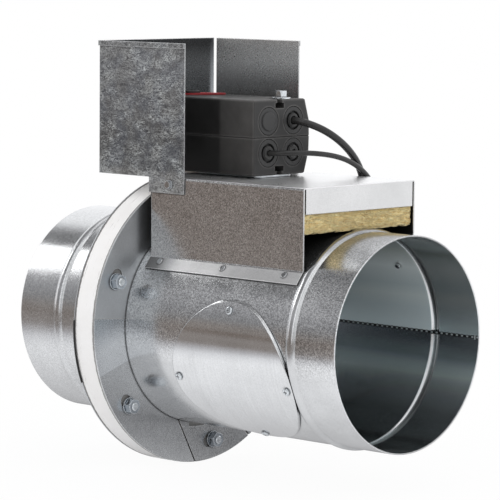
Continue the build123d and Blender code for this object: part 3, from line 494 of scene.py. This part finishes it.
def wool_fill():
    """The wool filling: a rounded box section in X and Z, carried along Y and drawn in to its middle at
    both ends. Flat layers and tufts push its skin in, most on the end that shows under the lip."""
    x0, z0, x1, z1 = wool_low[0], wool_low[2], wool_high[0], wool_high[2]
    face = np.linspace(0, 1, 120)[:, None]
    low = np.linspace(0, 1, 60)[:-1, None] ** 0.5
    round_path = np.vstack([
        np.hstack([x0 + (x1 - x0) * low, np.full_like(low, z0)]),
        np.hstack([np.full_like(face, x1), z0 + (z1 - z0) * face]),
        np.hstack([x1 - (x1 - x0) * np.linspace(0, 1, 30)[1:, None] ** 2, np.full((29, 1), z1)]),
        np.hstack([np.full((8, 1), x0), z1 - (z1 - z0) * np.linspace(0, 1, 10)[1:-1, None]]),
    ])
    middle = np.array(((x0 + x1) / 2, (z0 + z1) / 2))
    rows, count = WOOL_ROWS, len(round_path)
    y = np.linspace(wool_low[1], wool_high[1], rows)
    grid = np.empty((rows, count, 3))
    grid[..., 0], grid[..., 1], grid[..., 2] = round_path[:, 0], y[:, None], round_path[:, 1]
    heights = np.tile(round_path[:, 1] / 0.001, (rows, 1))
    layers = patches((rows, count), (60, 60), 3) * 0.5 + patches((rows, count), (140, 120), 4) * 0.3
    ripple = 0.5 + 0.5 * np.sin(heights * 2.1 + 9 * patches((rows, count), (26, 20), 5))
    depth = TUFT_DEPTH * layers + RIPPLE_DEPTH * ripple
    ragged = np.exp(-((round_path[:, 1] - z0) / 0.0016) ** 2) * patches((rows, count), (90, 2), 6)
    at_end = np.exp(-((x1 - round_path[:, 0]) / 0.004))
    push = depth * (1 + 2.2 * ragged) * (0.25 + 0.75 * at_end)
    toward = middle - round_path
    toward /= np.linalg.norm(toward, axis=1)[:, None]
    inward = np.where(at_end[:, None] > 0.5, (-1.0, 0.0), toward)
    grid[..., 0] += push * inward[:, 0]
    grid[..., 2] += push * inward[:, 1]
    tip = np.clip(np.minimum(y - wool_low[1], wool_high[1] - y) / 0.002, 0, 1) ** 0.5
    for axis, centre in ((0, middle[0]), (2, middle[1])):
        grid[..., axis] = centre + (grid[..., axis] - centre) * (0.985 + 0.015 * tip)[:, None]
    caps = [np.broadcast_to((middle[0], y[k], middle[1]), (1, count, 3)) for k in (0, -1)]
    closed = np.concatenate([caps[0], grid, caps[1]], 0)
    return piece_of("wool_fill", closed, net(rows + 2, count))


def wool_strands(count=520, seed=11, stations=9, sides=3):
    """Loose strands on the wool's end: each a three-sided thread carried along a gentle arc that lies
    mostly along Y, with a few that slant, and tapers to both ends."""
    random = np.random.default_rng(seed)
    x1, z0 = wool_high[0], wool_low[2]
    length = random.uniform(0.006, 0.022, count)
    slant = random.normal(0, 0.22, count)
    bend = random.normal(0, 0.16, count)
    y = random.uniform(wool_low[1] + 0.004, wool_high[1] - 0.004, count)
    z = z0 + random.uniform(0.0002, 0.0185, count)
    thick = random.uniform(0.00012, 0.00030, count)
    t = np.linspace(-0.5, 0.5, stations)
    path_y = y[:, None] + length[:, None] * t * np.cos(slant)[:, None]
    rise = t * np.sin(slant)[:, None] + bend[:, None] * (t ** 2 - 0.1)
    path_z = z[:, None] + length[:, None] * rise
    proud = 0.0009 * np.cos(np.pi * t)[None, :] * random.uniform(0.3, 1.0, count)[:, None]
    path_x = x1 - 0.0009 + proud
    path_y = np.clip(path_y, wool_low[1] + 0.001, wool_high[1] - 0.001)
    path_z = np.maximum(path_z, z0 + 0.0002)
    radius = thick[:, None] * (1 - (2 * t) ** 6)[None, :] + 0.00002
    turn = 2 * np.pi * np.arange(sides) / sides
    points = np.empty((count, stations, sides, 3))
    points[..., 0] = path_x[..., None] + radius[..., None] * np.cos(turn)
    points[..., 1] = path_y[..., None]
    points[..., 2] = path_z[..., None] + radius[..., None] * np.sin(turn)
    starts = np.arange(count) * stations * sides
    faces = (net(stations, sides)[None] + starts[:, None, None]).reshape(-1, 4)
    return piece_of("wool_strands", points, faces)


seam = seam_inside()
wool = wool_fill()
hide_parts("console_wool")
strands = wool_strands()


# Finishes


class Sheet(Finish):
    """Zinc coated sheet under way: its fine grain, its crystals and its clouds, and the colour, the
    dullness, the shine and the strength of its grain, which each special place changes in its turn."""

    def __init__(self, name, grain_size):
        super().__init__(name)
        self.where = self.place()
        self.x, self.y, self.z = self.axes(self.where)
        self.fine = self.noise(self.where, grain_size, 1.0, 0.6)
        self.crystal = self.cells(self.where, grain_size * 1.1)
        self.cloud = self.noise(self.where, 26.0, 4.0, 0.6)

    def wide_side(self, half):
        """One past this half width, on either side."""
        return self.spread(self.apart(self.y), half, half + 0.0003)

    def liveliness(self, calm, bore, foot):
        """How strong the grain is from place to place: weak below calm's first height, past its place
        along X and above its second height, on the bead and on the feet, and weaker towards +Y."""
        low, far_out, high = calm
        lively = self.times(self.spread(self.z, low, low + 0.03, 0.15, 1.0),
                            self.spread(self.x, far_out, far_out - 0.0002, 0.12, 1.0),
                            self.spread(self.z, high, high - 0.0004, 0.12, 1.0),
                            self.spread(self.y, 0.0, 0.03, 1.0, 0.35))
        if bore:
            bead = self.apart(self.x, NEAR_BEAD)
            lively = self.times(lively, self.spread(bead, 0.0050, 0.0064, 0.15, 1.0))
        if foot:
            lively = self.times(lively, self.spread(self.wide_side(foot), 0.0, 1.0, 1.0, 0.3))
        return lively

    def roll_over(self, angle):
        """Makes the sheet a pale segment above the line that runs through the duct's axis at this angle,
        its tone fading with height as a painted reflection, and the line itself, a joint, a little darker."""
        above = self.less(self.z, self.times(self.y, math.tan(angle)))
        # Painted reflection: the pale segment's tone fades with height.
        pale = self.ramp(self.spread(above, 0.0, 0.05), ROLLED_REFLECTION_TONES)
        self.colour = self.blend(self.spread(above, -0.0002, 0.0002), self.colour, pale)
        line = self.spread(self.apart(above), 0.0002, 0.0007, 0.3, 0.0)
        self.colour = self.blend(line, self.colour, ROLLED_LINE)

    def halves_and_painted_light(self, bore, metal):
        """Gives the inside of a tube two bluish halves, which meet at the seam, with painted light and
        shade by height: bright bands of painted reflection and dark bands of painted shade, the lower half
        mostly dark.
        """
        across = self.add("ShaderNodeVectorMath", {0: self.where, 1: (0.0, 1.0, 1.0)}, operation="MULTIPLY")
        inside = self.spread(self.length(across), bore + 0.0004, bore + 0.0002)
        # Painted light and shade: bright reflection bands and dark bands by height inside the tube.
        lower = self.ramp(self.spread(self.z, -0.1, 0.0), LOWER_HALF_PAINTED_LIGHT)
        upper = self.ramp(self.spread(self.z, 0.0, 0.1), UPPER_HALF_PAINTED_LIGHT)
        halves = self.blend(self.spread(self.z, *SEAM_LINE), lower, upper)
        halves = self.blend(self.spread(self.fine, 0.4, 0.7, 0.0, 0.12), halves, (0.9, 0.95, 0.95))
        self.colour = self.blend(inside, self.colour, halves)
        self.dullness = self.sum(self.dullness, self.spread(inside, 0, 1, 0.0, -0.02))
        self.strength = self.times(self.spread(inside, 0, 1, 1.0, 0.10), self.strength)
        before_bead = self.spread(self.x, NEAR_BEAD - 0.001, NEAR_BEAD - 0.003)
        deep = self.times(before_bead, self.spread(self.z, *SEAM_LINE), inside)
        self.shine = self.less(self.spread(inside, 0.0, 1.0, metal, 0.80), self.times(deep, 0.62))

    def flecks(self, half, back, inner, metal):
        """Covers the guard's outer faces, past a half width or back of a place along X, with wiry pale
        flecks at two slants over dark pits. Before a place along X, its inner face has its own tones by
        height, which on the front guard's end are a painted shade."""
        front = self.spread(self.apart(self.y), half - 0.0001, half + 0.0001)
        front = self.most(front, self.spread(self.x, back + 0.0001, back - 0.0001))
        rising = self.noise(self.place((130.0, 130.0, 330.0), (0, 0.50, 0)), 1.0, 3.0, 0.62, 1.5)
        falling = self.noise(self.place((110.0, 110.0, 260.0), (0, -0.35, 0)), 1.0, 3.0, 0.62, 1.5)
        wires = [self.spread(self.apart(field, 0.5), 0.024, 0.008) for field in (rising, falling)]
        patch = self.spread(self.noise(self.place((60, 60, 90)), 1.0, 3.0, 0.65), 0.38, 0.60, 0.1, 1.0)
        worn = self.times(self.most(*wires), patch, front)
        pits = self.most(self.spread(rising, 0.46, 0.38), self.spread(self.fine, 0.50, 0.36))
        place, tones = inner
        # On the front guard's end panel these inner tones are a painted shade.
        own = self.ramp(self.spread(self.z, 0.19, 0.27), tones)
        self.colour = self.blend(self.spread(self.x, place + 0.0002, place), self.colour, own)
        outer = self.ramp(self.spread(self.z, 0.14, 0.27), GUARD_TONES)
        self.colour = self.blend(front, self.colour, outer)
        self.colour = self.blend(self.times(pits, front, 0.60), self.colour, PIT)
        self.colour = self.blend(self.times(worn, 0.85), self.colour, FLECK)
        tint = self.spread(self.noise(self.where, 40.0, 2.0), 0.42, 0.60, 0.0, 0.08)
        self.colour = self.blend(self.times(tint, front), self.colour, BLUE_TINT)
        self.dullness = self.sum(self.dullness, self.times(worn, 0.30))
        self.shine = self.spread(front, 0.0, 1.0, metal, 0.40)

    def shade_inside(self, end, half, top):
        """Painted shade: darkens what lies inside of a place along X, a half width and a height."""
        within = self.times(self.spread(self.x, end, end - 0.0002),
                            self.spread(self.apart(self.y), half, half - 0.0002),
                            self.spread(self.z, top, top - 0.0002))
        self.colour = self.blend(within, self.colour, INSIDE_SHADE)
        self.dullness = self.sum(self.dullness, self.times(within, 0.5))


def zinc_sheet(name, tone=0.72, warm=-0.012, rough=0.18, grain=0.08, broad=0.05, relief=0.03,
               grain_size=820.0, metal=0.93, crease=0.30, edge_radius=0.0012, brushed=None, calm=None,
               painted_light_above=None, foot=None, rolled=None, bore=None, flecked=None, shaded_inside=None):
    """Zinc coated sheet: a fine crystal grain and broad cloudy patches, with painted shade in its creases
    and painted highlights on its edges.
    Brushed is the strength of faint strokes. Calm gives the places past which the grain fades. The painted
    light above a height is given as that height, the share of its tone that the sheet keeps above it, and
    how far that change takes: painted shade on the near duct under the console, and painted light on the
    console's top.
    Foot is the half width past which the bent feet lie, bright with painted reflection bands along X.
    Rolled is the angle of the line above which the sheet is a pale segment whose fade is a painted
    reflection, and bore the inner radius of a tube, which also brings the console's painted shadow and the
    inside's painted light and shade. Flecked is what flecks takes, and shaded_inside what shade_inside
    takes: a painted shade inside the console."""
    f = Sheet(name, grain_size)
    speck = f.sum(f.spread(f.fine, 0.36, 0.66, -grain, 1.25 * grain),
                  f.spread(f.crystal, 0, 1, -grain, grain))
    f.strength = relief
    f.shine = metal
    f.dullness = f.sum(f.spread(f.cloud, 0.3, 0.7, -0.03, 0.03),
                       f.spread(f.crystal, 0, 1, rough - 0.04, rough + 0.04))
    if calm:
        lively = f.liveliness(calm, bore, foot)
        speck = f.times(speck, lively)
        f.strength = f.times(lively, relief)
        f.dullness = f.sum(f.dullness, f.spread(f.z, calm[2], calm[2] + 0.0004, 0.0, 0.12))
    mottle = f.sum(speck, f.spread(f.cloud, 0.3, 0.7, -broad, broad))
    if brushed:
        strokes = f.noise(f.place((480, 9, 9)), 1.0, 3.0, 0.6)
        mottle = f.sum(mottle, f.spread(strokes, 0.3, 0.7, -brushed, brushed))
    level = f.times(f.sum(mottle, 1.0), tone)
    if bore:
        # Painted shadow of the console on the duct's top.
        console_shadow = f.times(f.spread(f.x, 0.2215, 0.2205), f.spread(f.z, 0.040, 0.052),
                                f.spread(f.x, 0.020, 0.035))
        level = f.times(level, f.spread(console_shadow, 0.0, 1.0, 1.0, 0.60))
    # Painted light and shade: the tone above a height is scaled, darker on the near duct under the console
    # and lighter on the console's top.
    if painted_light_above:
        above, kept, change = painted_light_above
        level = f.times(level, f.spread(f.z, above - 0.0002, above + change, 1.0, kept))
    if foot:
        out = f.wide_side(foot)
        # Painted reflections: bright bands along X on the bent feet.
        level = f.times(level, f.blend(out, (1.0, 1.0, 1.0), f.ramp(f.spread(f.x, 0.02, 0.22), FOOT_REFLECTION_TONES)))
        f.shine = f.spread(out, 0.0, 1.0, metal, 0.60)
    f.colour = f.add("ShaderNodeCombineColor", {"Red": f.times(level, 1 + warm), "Green": level,
                                                "Blue": f.times(level, 1 - warm)})
    if rolled:
        f.roll_over(rolled)
    if bore:
        f.halves_and_painted_light(bore, metal)
    if flecked:
        f.flecks(*flecked, metal)
    if shaded_inside:
        f.shade_inside(*shaded_inside)
    # Painted highlight: sharp edges are blended towards a pale colour.
    rim = f.times(f.edge_highlight(edge_radius), 0.75)
    f.colour = f.blend(rim, f.colour, (0.96, 0.965, 0.97))
    f.shine = f.less(f.shine, f.times(rim, 0.5))
    f.dullness = f.sum(f.dullness, f.times(rim, 0.20))
    # Painted shade: the colour is darkened in creases.
    f.colour = f.shaded(f.colour, f.crease_shade(crease, 0.0018, 0.62, 0.96) if foot else f.crease_shade(crease))
    height = f.sum(f.fine, f.times(f.crystal, 0.5))
    normal = f.bump(height, f.strength, 0.0003, f.edges(0.85 * edge_radius))
    return f.surface(Base_Color=f.colour, Metallic=f.shine, Roughness=f.dullness, Normal=normal)


SEAM_LINE = (-0.0018, -0.0012)
ROLLED_LINE = (0.30, 0.31, 0.32)
PIT, FLECK, BLUE_TINT = (0.052, 0.054, 0.059), (0.76, 0.79, 0.78), (0.10, 0.18, 0.34)
INSIDE_SHADE = (0.035, 0.033, 0.031)
# The tones of the halves, the guards and the line's pale side are by height, and the feet's along X. The
# halves' tones are painted reflections and painted shade, the guard end's inner tones a painted shade, and
# the pale side's fade and the feet's bright bands painted reflections.
LOWER_HALF_PAINTED_LIGHT = ((0.0, (0.02, 0.02, 0.02)), (0.22, (0.12, 0.13, 0.14)), (0.42, (0.46, 0.51, 0.54)),
              (0.50, (0.66, 0.74, 0.76)), (0.60, (0.88, 1.0, 1.0)), (0.68, (0.60, 0.68, 0.71)),
              (0.76, (0.30, 0.34, 0.36)), (0.88, (0.20, 0.22, 0.24)), (1.0, (0.16, 0.17, 0.19)))
GUARD_TONES = ((0.0, (0.34, 0.34, 0.335)), (0.03, (0.30, 0.30, 0.295)), (0.07, (0.16, 0.163, 0.165)),
               (0.26, (0.136, 0.136, 0.137)), (0.50, (0.194, 0.194, 0.197)), (1.0, (0.243, 0.246, 0.252)))
END_SHADE_TONES = ((0.0, (0.36, 0.38, 0.40)), (0.60, (0.18, 0.19, 0.20)), (0.88, (0.05, 0.052, 0.055)),
             (1.0, (0.04, 0.042, 0.045)))
REAR_TONES = ((0.30, (0.42, 0.42, 0.415)), (0.44, (0.48, 0.48, 0.475)), (0.70, (1.0, 1.0, 0.985)),
              (1.0, (1.0, 1.0, 0.99)))
FOOT_REFLECTION_TONES = ((0.0, (0.20, 0.20, 0.20)), (0.09, (0.32, 0.32, 0.32)), (0.20, (1.38, 1.38, 1.38)),
              (0.45, (1.38, 1.38, 1.38)), (0.60, (1.0, 1.0, 1.0)), (1.0, (1.1, 1.1, 1.1)))
ROLLED_REFLECTION_TONES = ((0.0, (0.64, 0.66, 0.68)), (0.45, (0.62, 0.64, 0.66)), (0.85, (0.42, 0.45, 0.48)),
                (1.0, (0.41, 0.45, 0.48)))
UPPER_HALF_PAINTED_LIGHT = ((0.0, (0.84, 0.95, 0.98)), (0.20, (0.80, 0.92, 0.95)), (0.32, (0.90, 1.0, 1.0)),
              (0.42, (0.74, 0.85, 0.87)), (0.60, (0.92, 1.0, 1.0)), (0.76, (0.50, 0.55, 0.53)),
              (0.86, (0.25, 0.27, 0.27)), (1.0, (0.15, 0.16, 0.16)))


def stitched(name):
    """The lap seam: black, with a painted highlight on each stitch as a pale bluish dash, and the same on
    its pressed spot.
    """
    f = Finish(name)
    where = f.place()
    x, _, z = f.axes(where)
    wave = f.add("ShaderNodeMath", {0: f.times(x, 2 * math.pi / STITCH)}, operation="COSINE")
    from_spot = f.apart(x, SPOT_X)
    # Painted highlight: a pale dash on each stitch and on the pressed spot.
    dash = f.times(f.spread(wave, 0.15, 0.55), f.spread(from_spot, 0.0018, 0.0014, 1.0, 0.0),
                   f.spread(f.apart(z, SEAM_Z), 0.0009, 0.0007))
    light = f.most(dash, f.spread(from_spot, 0.0010, 0.0006))
    shade = f.blend(light, (0.004, 0.004, 0.005), (0.38, 0.42, 0.43))
    return f.surface(Base_Color=shade, Metallic=0.0,
                     Roughness=f.spread(f.noise(where, 900.0), 0.3, 0.7, 0.22, 0.34),
                     Normal=f.bump(f.noise(where, 700.0), 0.1, 0.0002))


def plated(name, tone=(0.80, 0.84, 0.87), rough=0.16):
    """Zinc plated steel, faintly cloudy, with painted shade in its creases and painted highlights on its
    edges.
    """
    f = Finish(name)
    cloud = f.noise(f.place(), 420.0, 3.0, 0.6)
    shade = f.blend(f.spread(cloud, 0.3, 0.7), tuple(0.78 * t for t in tone), tone)
    # Painted shade in the creases, and painted highlights on the edges.
    shade = f.shaded(shade, f.crease_shade(0.10, 0.0020))
    rim = f.times(f.edge_highlight(0.0009), 0.8)
    shade = f.blend(rim, shade, (0.95, 0.97, 1.0))
    return f.surface(Base_Color=shade, Metallic=f.spread(rim, 0.0, 1.0, 1.0, 0.5),
                     Roughness=f.spread(cloud, 0.3, 0.7, rough, rough + 0.12),
                     Normal=f.bump(cloud, 0.10, 0.0003, f.edges(0.0005)))


def turned_metal(name, tone, rough):
    """Machined bar: fine rings along its length."""
    f = Finish(name)
    rings = f.noise(f.place((30, 30, 3200)), 1.0, 1.0)
    shade = f.blend(f.spread(rings, 0.3, 0.7), tuple(0.8 * t for t in tone), tone)
    return f.surface(Base_Color=shade, Metallic=1.0, Roughness=rough, Normal=f.bump(rings, 0.15, 0.0002))


def silicate_board(name):
    """Off-white pressed board: a chalky face with faint saw marks, a few dark nicks, and a thin dark
    line at each rim, where the sheet begins."""
    f = Finish(name)
    where = f.place()
    chalk = f.noise(where, 520.0, 4.0, 0.65)
    cloud = f.noise(where, 34.0, 3.0, 0.6)
    saw = f.noise(f.place((900, 20, 20)), 1.0, 2.0)
    shade = f.blend(f.spread(cloud, 0.3, 0.7), (0.95, 0.935, 0.915), (0.99, 0.98, 0.97))
    shade = f.blend(f.spread(chalk, 0.62, 0.78, 0.0, 0.25), shade, (0.62, 0.58, 0.54))
    nick = f.noise(f.place((520, 34, 34)), 1.0, 4.0, 0.7)
    shade = f.blend(f.spread(nick, 0.64, 0.70, 0.0, 0.75), shade, (0.34, 0.31, 0.29))
    x, _, _ = f.axes(where)
    ragged = f.sum(f.apart(x), f.spread(f.noise(where, 240.0, 3.0, 0.7), 0.3, 0.7, -0.0004, 0.0004))
    rim = f.spread(ragged, BOARD_HALF - 0.0018, BOARD_HALF - 0.0010, 0.0, 0.80)
    shade = f.blend(rim, shade, (0.10, 0.095, 0.09))
    height = f.sum(chalk, f.times(saw, 0.6))
    return f.surface(Base_Color=shade, Roughness=0.85, Normal=f.bump(height, 0.35, 0.0005))


def mineral_wool(name, pale=0.0):
    """Ochre fibres in flat layers, with pale hairs and brown tufts, and painted shade where the wool is
    hidden at its far end and along its underside. Pale is the share of a paler tone in all of it."""
    f = Finish(name)
    where = f.place()
    layers = f.noise(f.place((70, 70, 520), (0.10, 0, 0)), 1.0, 5.0, 0.72, 0.8)
    hairs = f.noise(f.place((500, 130, 1200), (0.30, 0, 0)), 1.0, 4.0, 0.7, 1.4)
    tuft = f.noise(f.place((90, 70, 230), (-0.15, 0, 0)), 1.0, 4.0, 0.65)
    shade = f.blend(f.spread(layers, 0.34, 0.66), (0.95, 0.69, 0.27), (1.0, 0.92, 0.56))
    shade = f.blend(f.spread(hairs, 0.50, 0.70, 0.0, 0.70), shade, (1.0, 0.90, 0.60))
    shade = f.blend(f.spread(tuft, 0.58, 0.72, 0.0, 0.75), shade, (0.48, 0.28, 0.08))
    shade = f.blend(pale, shade, (1.0, 0.88, 0.56))
    x, _, z = f.axes(where)
    # Painted shade at the far end and along the underside.
    far_end_shade = f.times(f.spread(x, 0.030, 0.024), f.spread(z, 0.1300, 0.1285))
    shade = f.blend(far_end_shade, shade, (0.02, 0.018, 0.015))
    below = f.times(f.spread(z, 0.1008, 0.1003), f.spread(x, 0.2170, 0.2160))
    shade = f.blend(below, shade, (0.03, 0.026, 0.02))
    height = f.sum(f.times(layers, 1.5), hairs)
    return f.surface(Base_Color=shade, Roughness=0.95, Normal=f.bump(height, 0.5, 0.0008))


def moulding(name, tone, rough, texture, warm=0.0, density=1500.0, recess=1.0):
    """Moulded plastic or rubber: a fine spark texture with pale high spots, and painted shade in its
    creases. Texture is its strength, and density about how many spots lie in a metre. A recess under one is
    for the actuator: it paints shade on what stands close to other pieces, on the end face and on the end
    under the guard, and it paints highlights on its edges."""
    f = Finish(name)
    where = f.place()
    spark = f.noise(where, density, 3.0, 0.6)
    cloud = f.noise(where, 45.0, 3.0, 0.6)
    shade = f.blend(f.spread(cloud, 0.3, 0.7), grey(tone * 0.80, warm), grey(tone * 1.25, warm))
    shade = f.blend(f.spread(spark, 0.62, 0.80, 0.0, 0.5), shade, grey(tone * 2.6, warm))
    # Painted shade in the creases.
    light = f.crease_shade(0.15, 0.0018)
    if recess < 1:
        x, _, _ = f.axes(where)
        # Painted shade on the end face and on the end under the guard, and painted highlights on the
        # corners.
        shade = f.blend(f.spread(x, 0.1160, 0.1165, 0.0, 0.75), shade, ACTUATOR_SHADE)
        shade = f.blend(f.spread(x, 0.0705, 0.0745, 0.70, 0.0), shade, ACTUATOR_SHADE)
        shade = f.blend(f.times(f.edge_highlight(0.0035), 0.50), shade, grey(tone * 3.4, warm))
        # Painted shade on what stands close to other pieces.
        wide = f.add("ShaderNodeAmbientOcclusion", {"Distance": 0.09}, "AO", samples=8)
        light = f.times(light, f.spread(wide, 0.42, 0.86, recess, 1.0))
    return f.surface(Base_Color=f.shaded(shade, light),
                     Roughness=f.spread(cloud, 0.3, 0.7, rough - 0.05, rough + 0.07),
                     Normal=f.bump(spark, texture, 0.0002, f.edges(0.0009)))


def red_plastic(name):
    """Red moulded plastic."""
    f = Finish(name)
    cloud = f.noise(f.place(), 90.0, 3.0, 0.6)
    shade = f.blend(f.spread(cloud, 0.3, 0.7), (0.33, 0.016, 0.022), (0.42, 0.024, 0.030))
    return f.surface(Base_Color=shade, Roughness=0.38,
                     Normal=f.bump(f.noise(f.place(), 1400.0), 0.1, 0.0002))


ACTUATOR_SHADE = (0.004, 0.004, 0.004)
GUARD_OUTSIDE = (0.0760, -0.0463)    # the half width and the place along X past which it faces outward

paint = {
    "duct": zinc_sheet("zinc duct", relief=0.05, rough=0.19, grain=0.25, broad=0.10, grain_size=860.0,
                       bore=BORE_R, calm=(-0.028, 0.30, 0.2), painted_light_above=(0.078, 0.66, 0.008)),
    "far duct": zinc_sheet("zinc far duct", relief=0.04, rough=0.21, grain=0.08, bore=BORE_R),
    "flange": zinc_sheet("zinc flange", tone=0.50, warm=-0.035, rough=0.38, grain=0.03, broad=0.10),
    "flange side": zinc_sheet("zinc flange side", tone=0.53, warm=-0.02, rough=0.26, grain=0.06,
                              rolled=math.radians(198.8)),
    "flange low": zinc_sheet("zinc flange low", tone=0.44, warm=-0.015, rough=0.30, grain=0.12),
    "console": zinc_sheet("zinc console", warm=0.0, rough=0.20, grain=0.24, relief=0.01, crease=0.12,
                          shaded_inside=(0.2190, 0.0745, 0.1410), calm=(0.045, 0.2194, 0.1416),
                          painted_light_above=(0.1415, 1.30, 0.0002), foot=0.0762),
    "guard": zinc_sheet("zinc guard", tone=0.62, rough=0.26, grain=0.10, broad=0.06, edge_radius=0.0009,
                        flecked=(*GUARD_OUTSIDE, (-0.0450, END_SHADE_TONES))),
    "guard rear": zinc_sheet("zinc guard rear", tone=0.96, rough=0.24, grain=0.03, broad=0.03,
                             relief=0.0, metal=0.80, edge_radius=0.0009,
                             flecked=(*GUARD_OUTSIDE, (1.0, REAR_TONES))),
    "cover": zinc_sheet("zinc cover", tone=0.77, rough=0.11, grain=0.20, relief=0.01, brushed=0.035,
                        calm=(0.0, 1.0, 1.0), edge_radius=0.0009),
    "blade": zinc_sheet("zinc blade", tone=0.80, rough=0.30),
    "board": silicate_board("silicate board"),
    "wool": mineral_wool("mineral wool"),
    "strands": mineral_wool("wool strands", pale=0.45),
    "plated": plated("plated fastener"),
    "nut": plated("plated nut", tone=(0.56, 0.61, 0.66), rough=0.10),
    "rivet": plated("rivet metal", tone=(0.60, 0.61, 0.62)),
    "steel": turned_metal("turned steel", tone=(0.46, 0.46, 0.47), rough=0.32),
    "brass": turned_metal("turned brass", tone=(0.56, 0.42, 0.20), rough=0.34),
    "graphite": moulding("graphite strip", tone=0.04, rough=0.6, texture=0.5, density=700.0),
    "seal": moulding("dark seal", tone=0.03, rough=0.7, texture=0.5, density=600.0),
    "seam": stitched("zinc seam"),
    "housing": moulding("actuator housing", tone=0.058, warm=0.04, rough=0.40, texture=0.22, recess=0.50),
    "rubber": moulding("grommet rubber", tone=0.030, rough=0.40, texture=0.15),
    "sheath": moulding("cable sheath", tone=0.024, warm=0.02, rough=0.26, texture=0.06),
    "core": moulding("core insulation", tone=0.12, warm=-0.05, rough=0.42, texture=0.10),
    "black": moulding("black plastic", tone=0.022, rough=0.40, texture=0.15),
    "red": red_plastic("red pointer"),
}

worn_by = {
    "duct": "near_duct near_blade_stop far_blade_stop",
    "far duct": "far_duct",
    "flange": "near_flange_upper far_flange",
    "flange side": "near_flange_side",
    "flange low": "near_flange_lower",
    "console": "console",
    "guard": "guard_front",
    "guard rear": "guard_rear",
    "cover": "inspection_cover",
    "blade": "blade_near_skin blade_far_skin",
    "board": "insulating_ring blade_core",
    "wool": "console_wool",
    "plated": "flange_bolts cover_screws guard_screws actuator_plate actuator_bolt actuator_washer "
              "core_ferrules blade_brackets blade_bolts blade_nuts",
    "nut": "flange_nuts flange_washers",
    "rivet": "console_rivets",
    "steel": "drive_shaft stub_shaft actuator_spindle",
    "brass": "upper_bush lower_bush",
    "graphite": "intumescent_strip blade_seal",
    "seal": "flange_gasket cover_gasket",
    "housing": "actuator_lower_housing actuator_upper_housing",
    "rubber": "port_blank thick_grommet thin_grommet open_grommet",
    "sheath": "thick_cable thick_cable_coil thick_cable_tail thin_cable thin_cable_coil thin_cable_tail",
    "core": "thick_cable_cores thin_cable_cores",
    "black": "cable_ties spindle_hub",
    "red": "position_indicator",
}
for finish, names in worn_by.items():
    for name in names.split():
        mesh = nodes[name].data
        mesh.materials.clear()
        mesh.materials.append(paint[finish])
for piece, finish in ((thick_lead, "sheath"), (thin_lead, "sheath"), (wool, "wool"), (strands, "strands"),
                      (seam, "seam")):
    piece.data.materials.append(paint[finish])
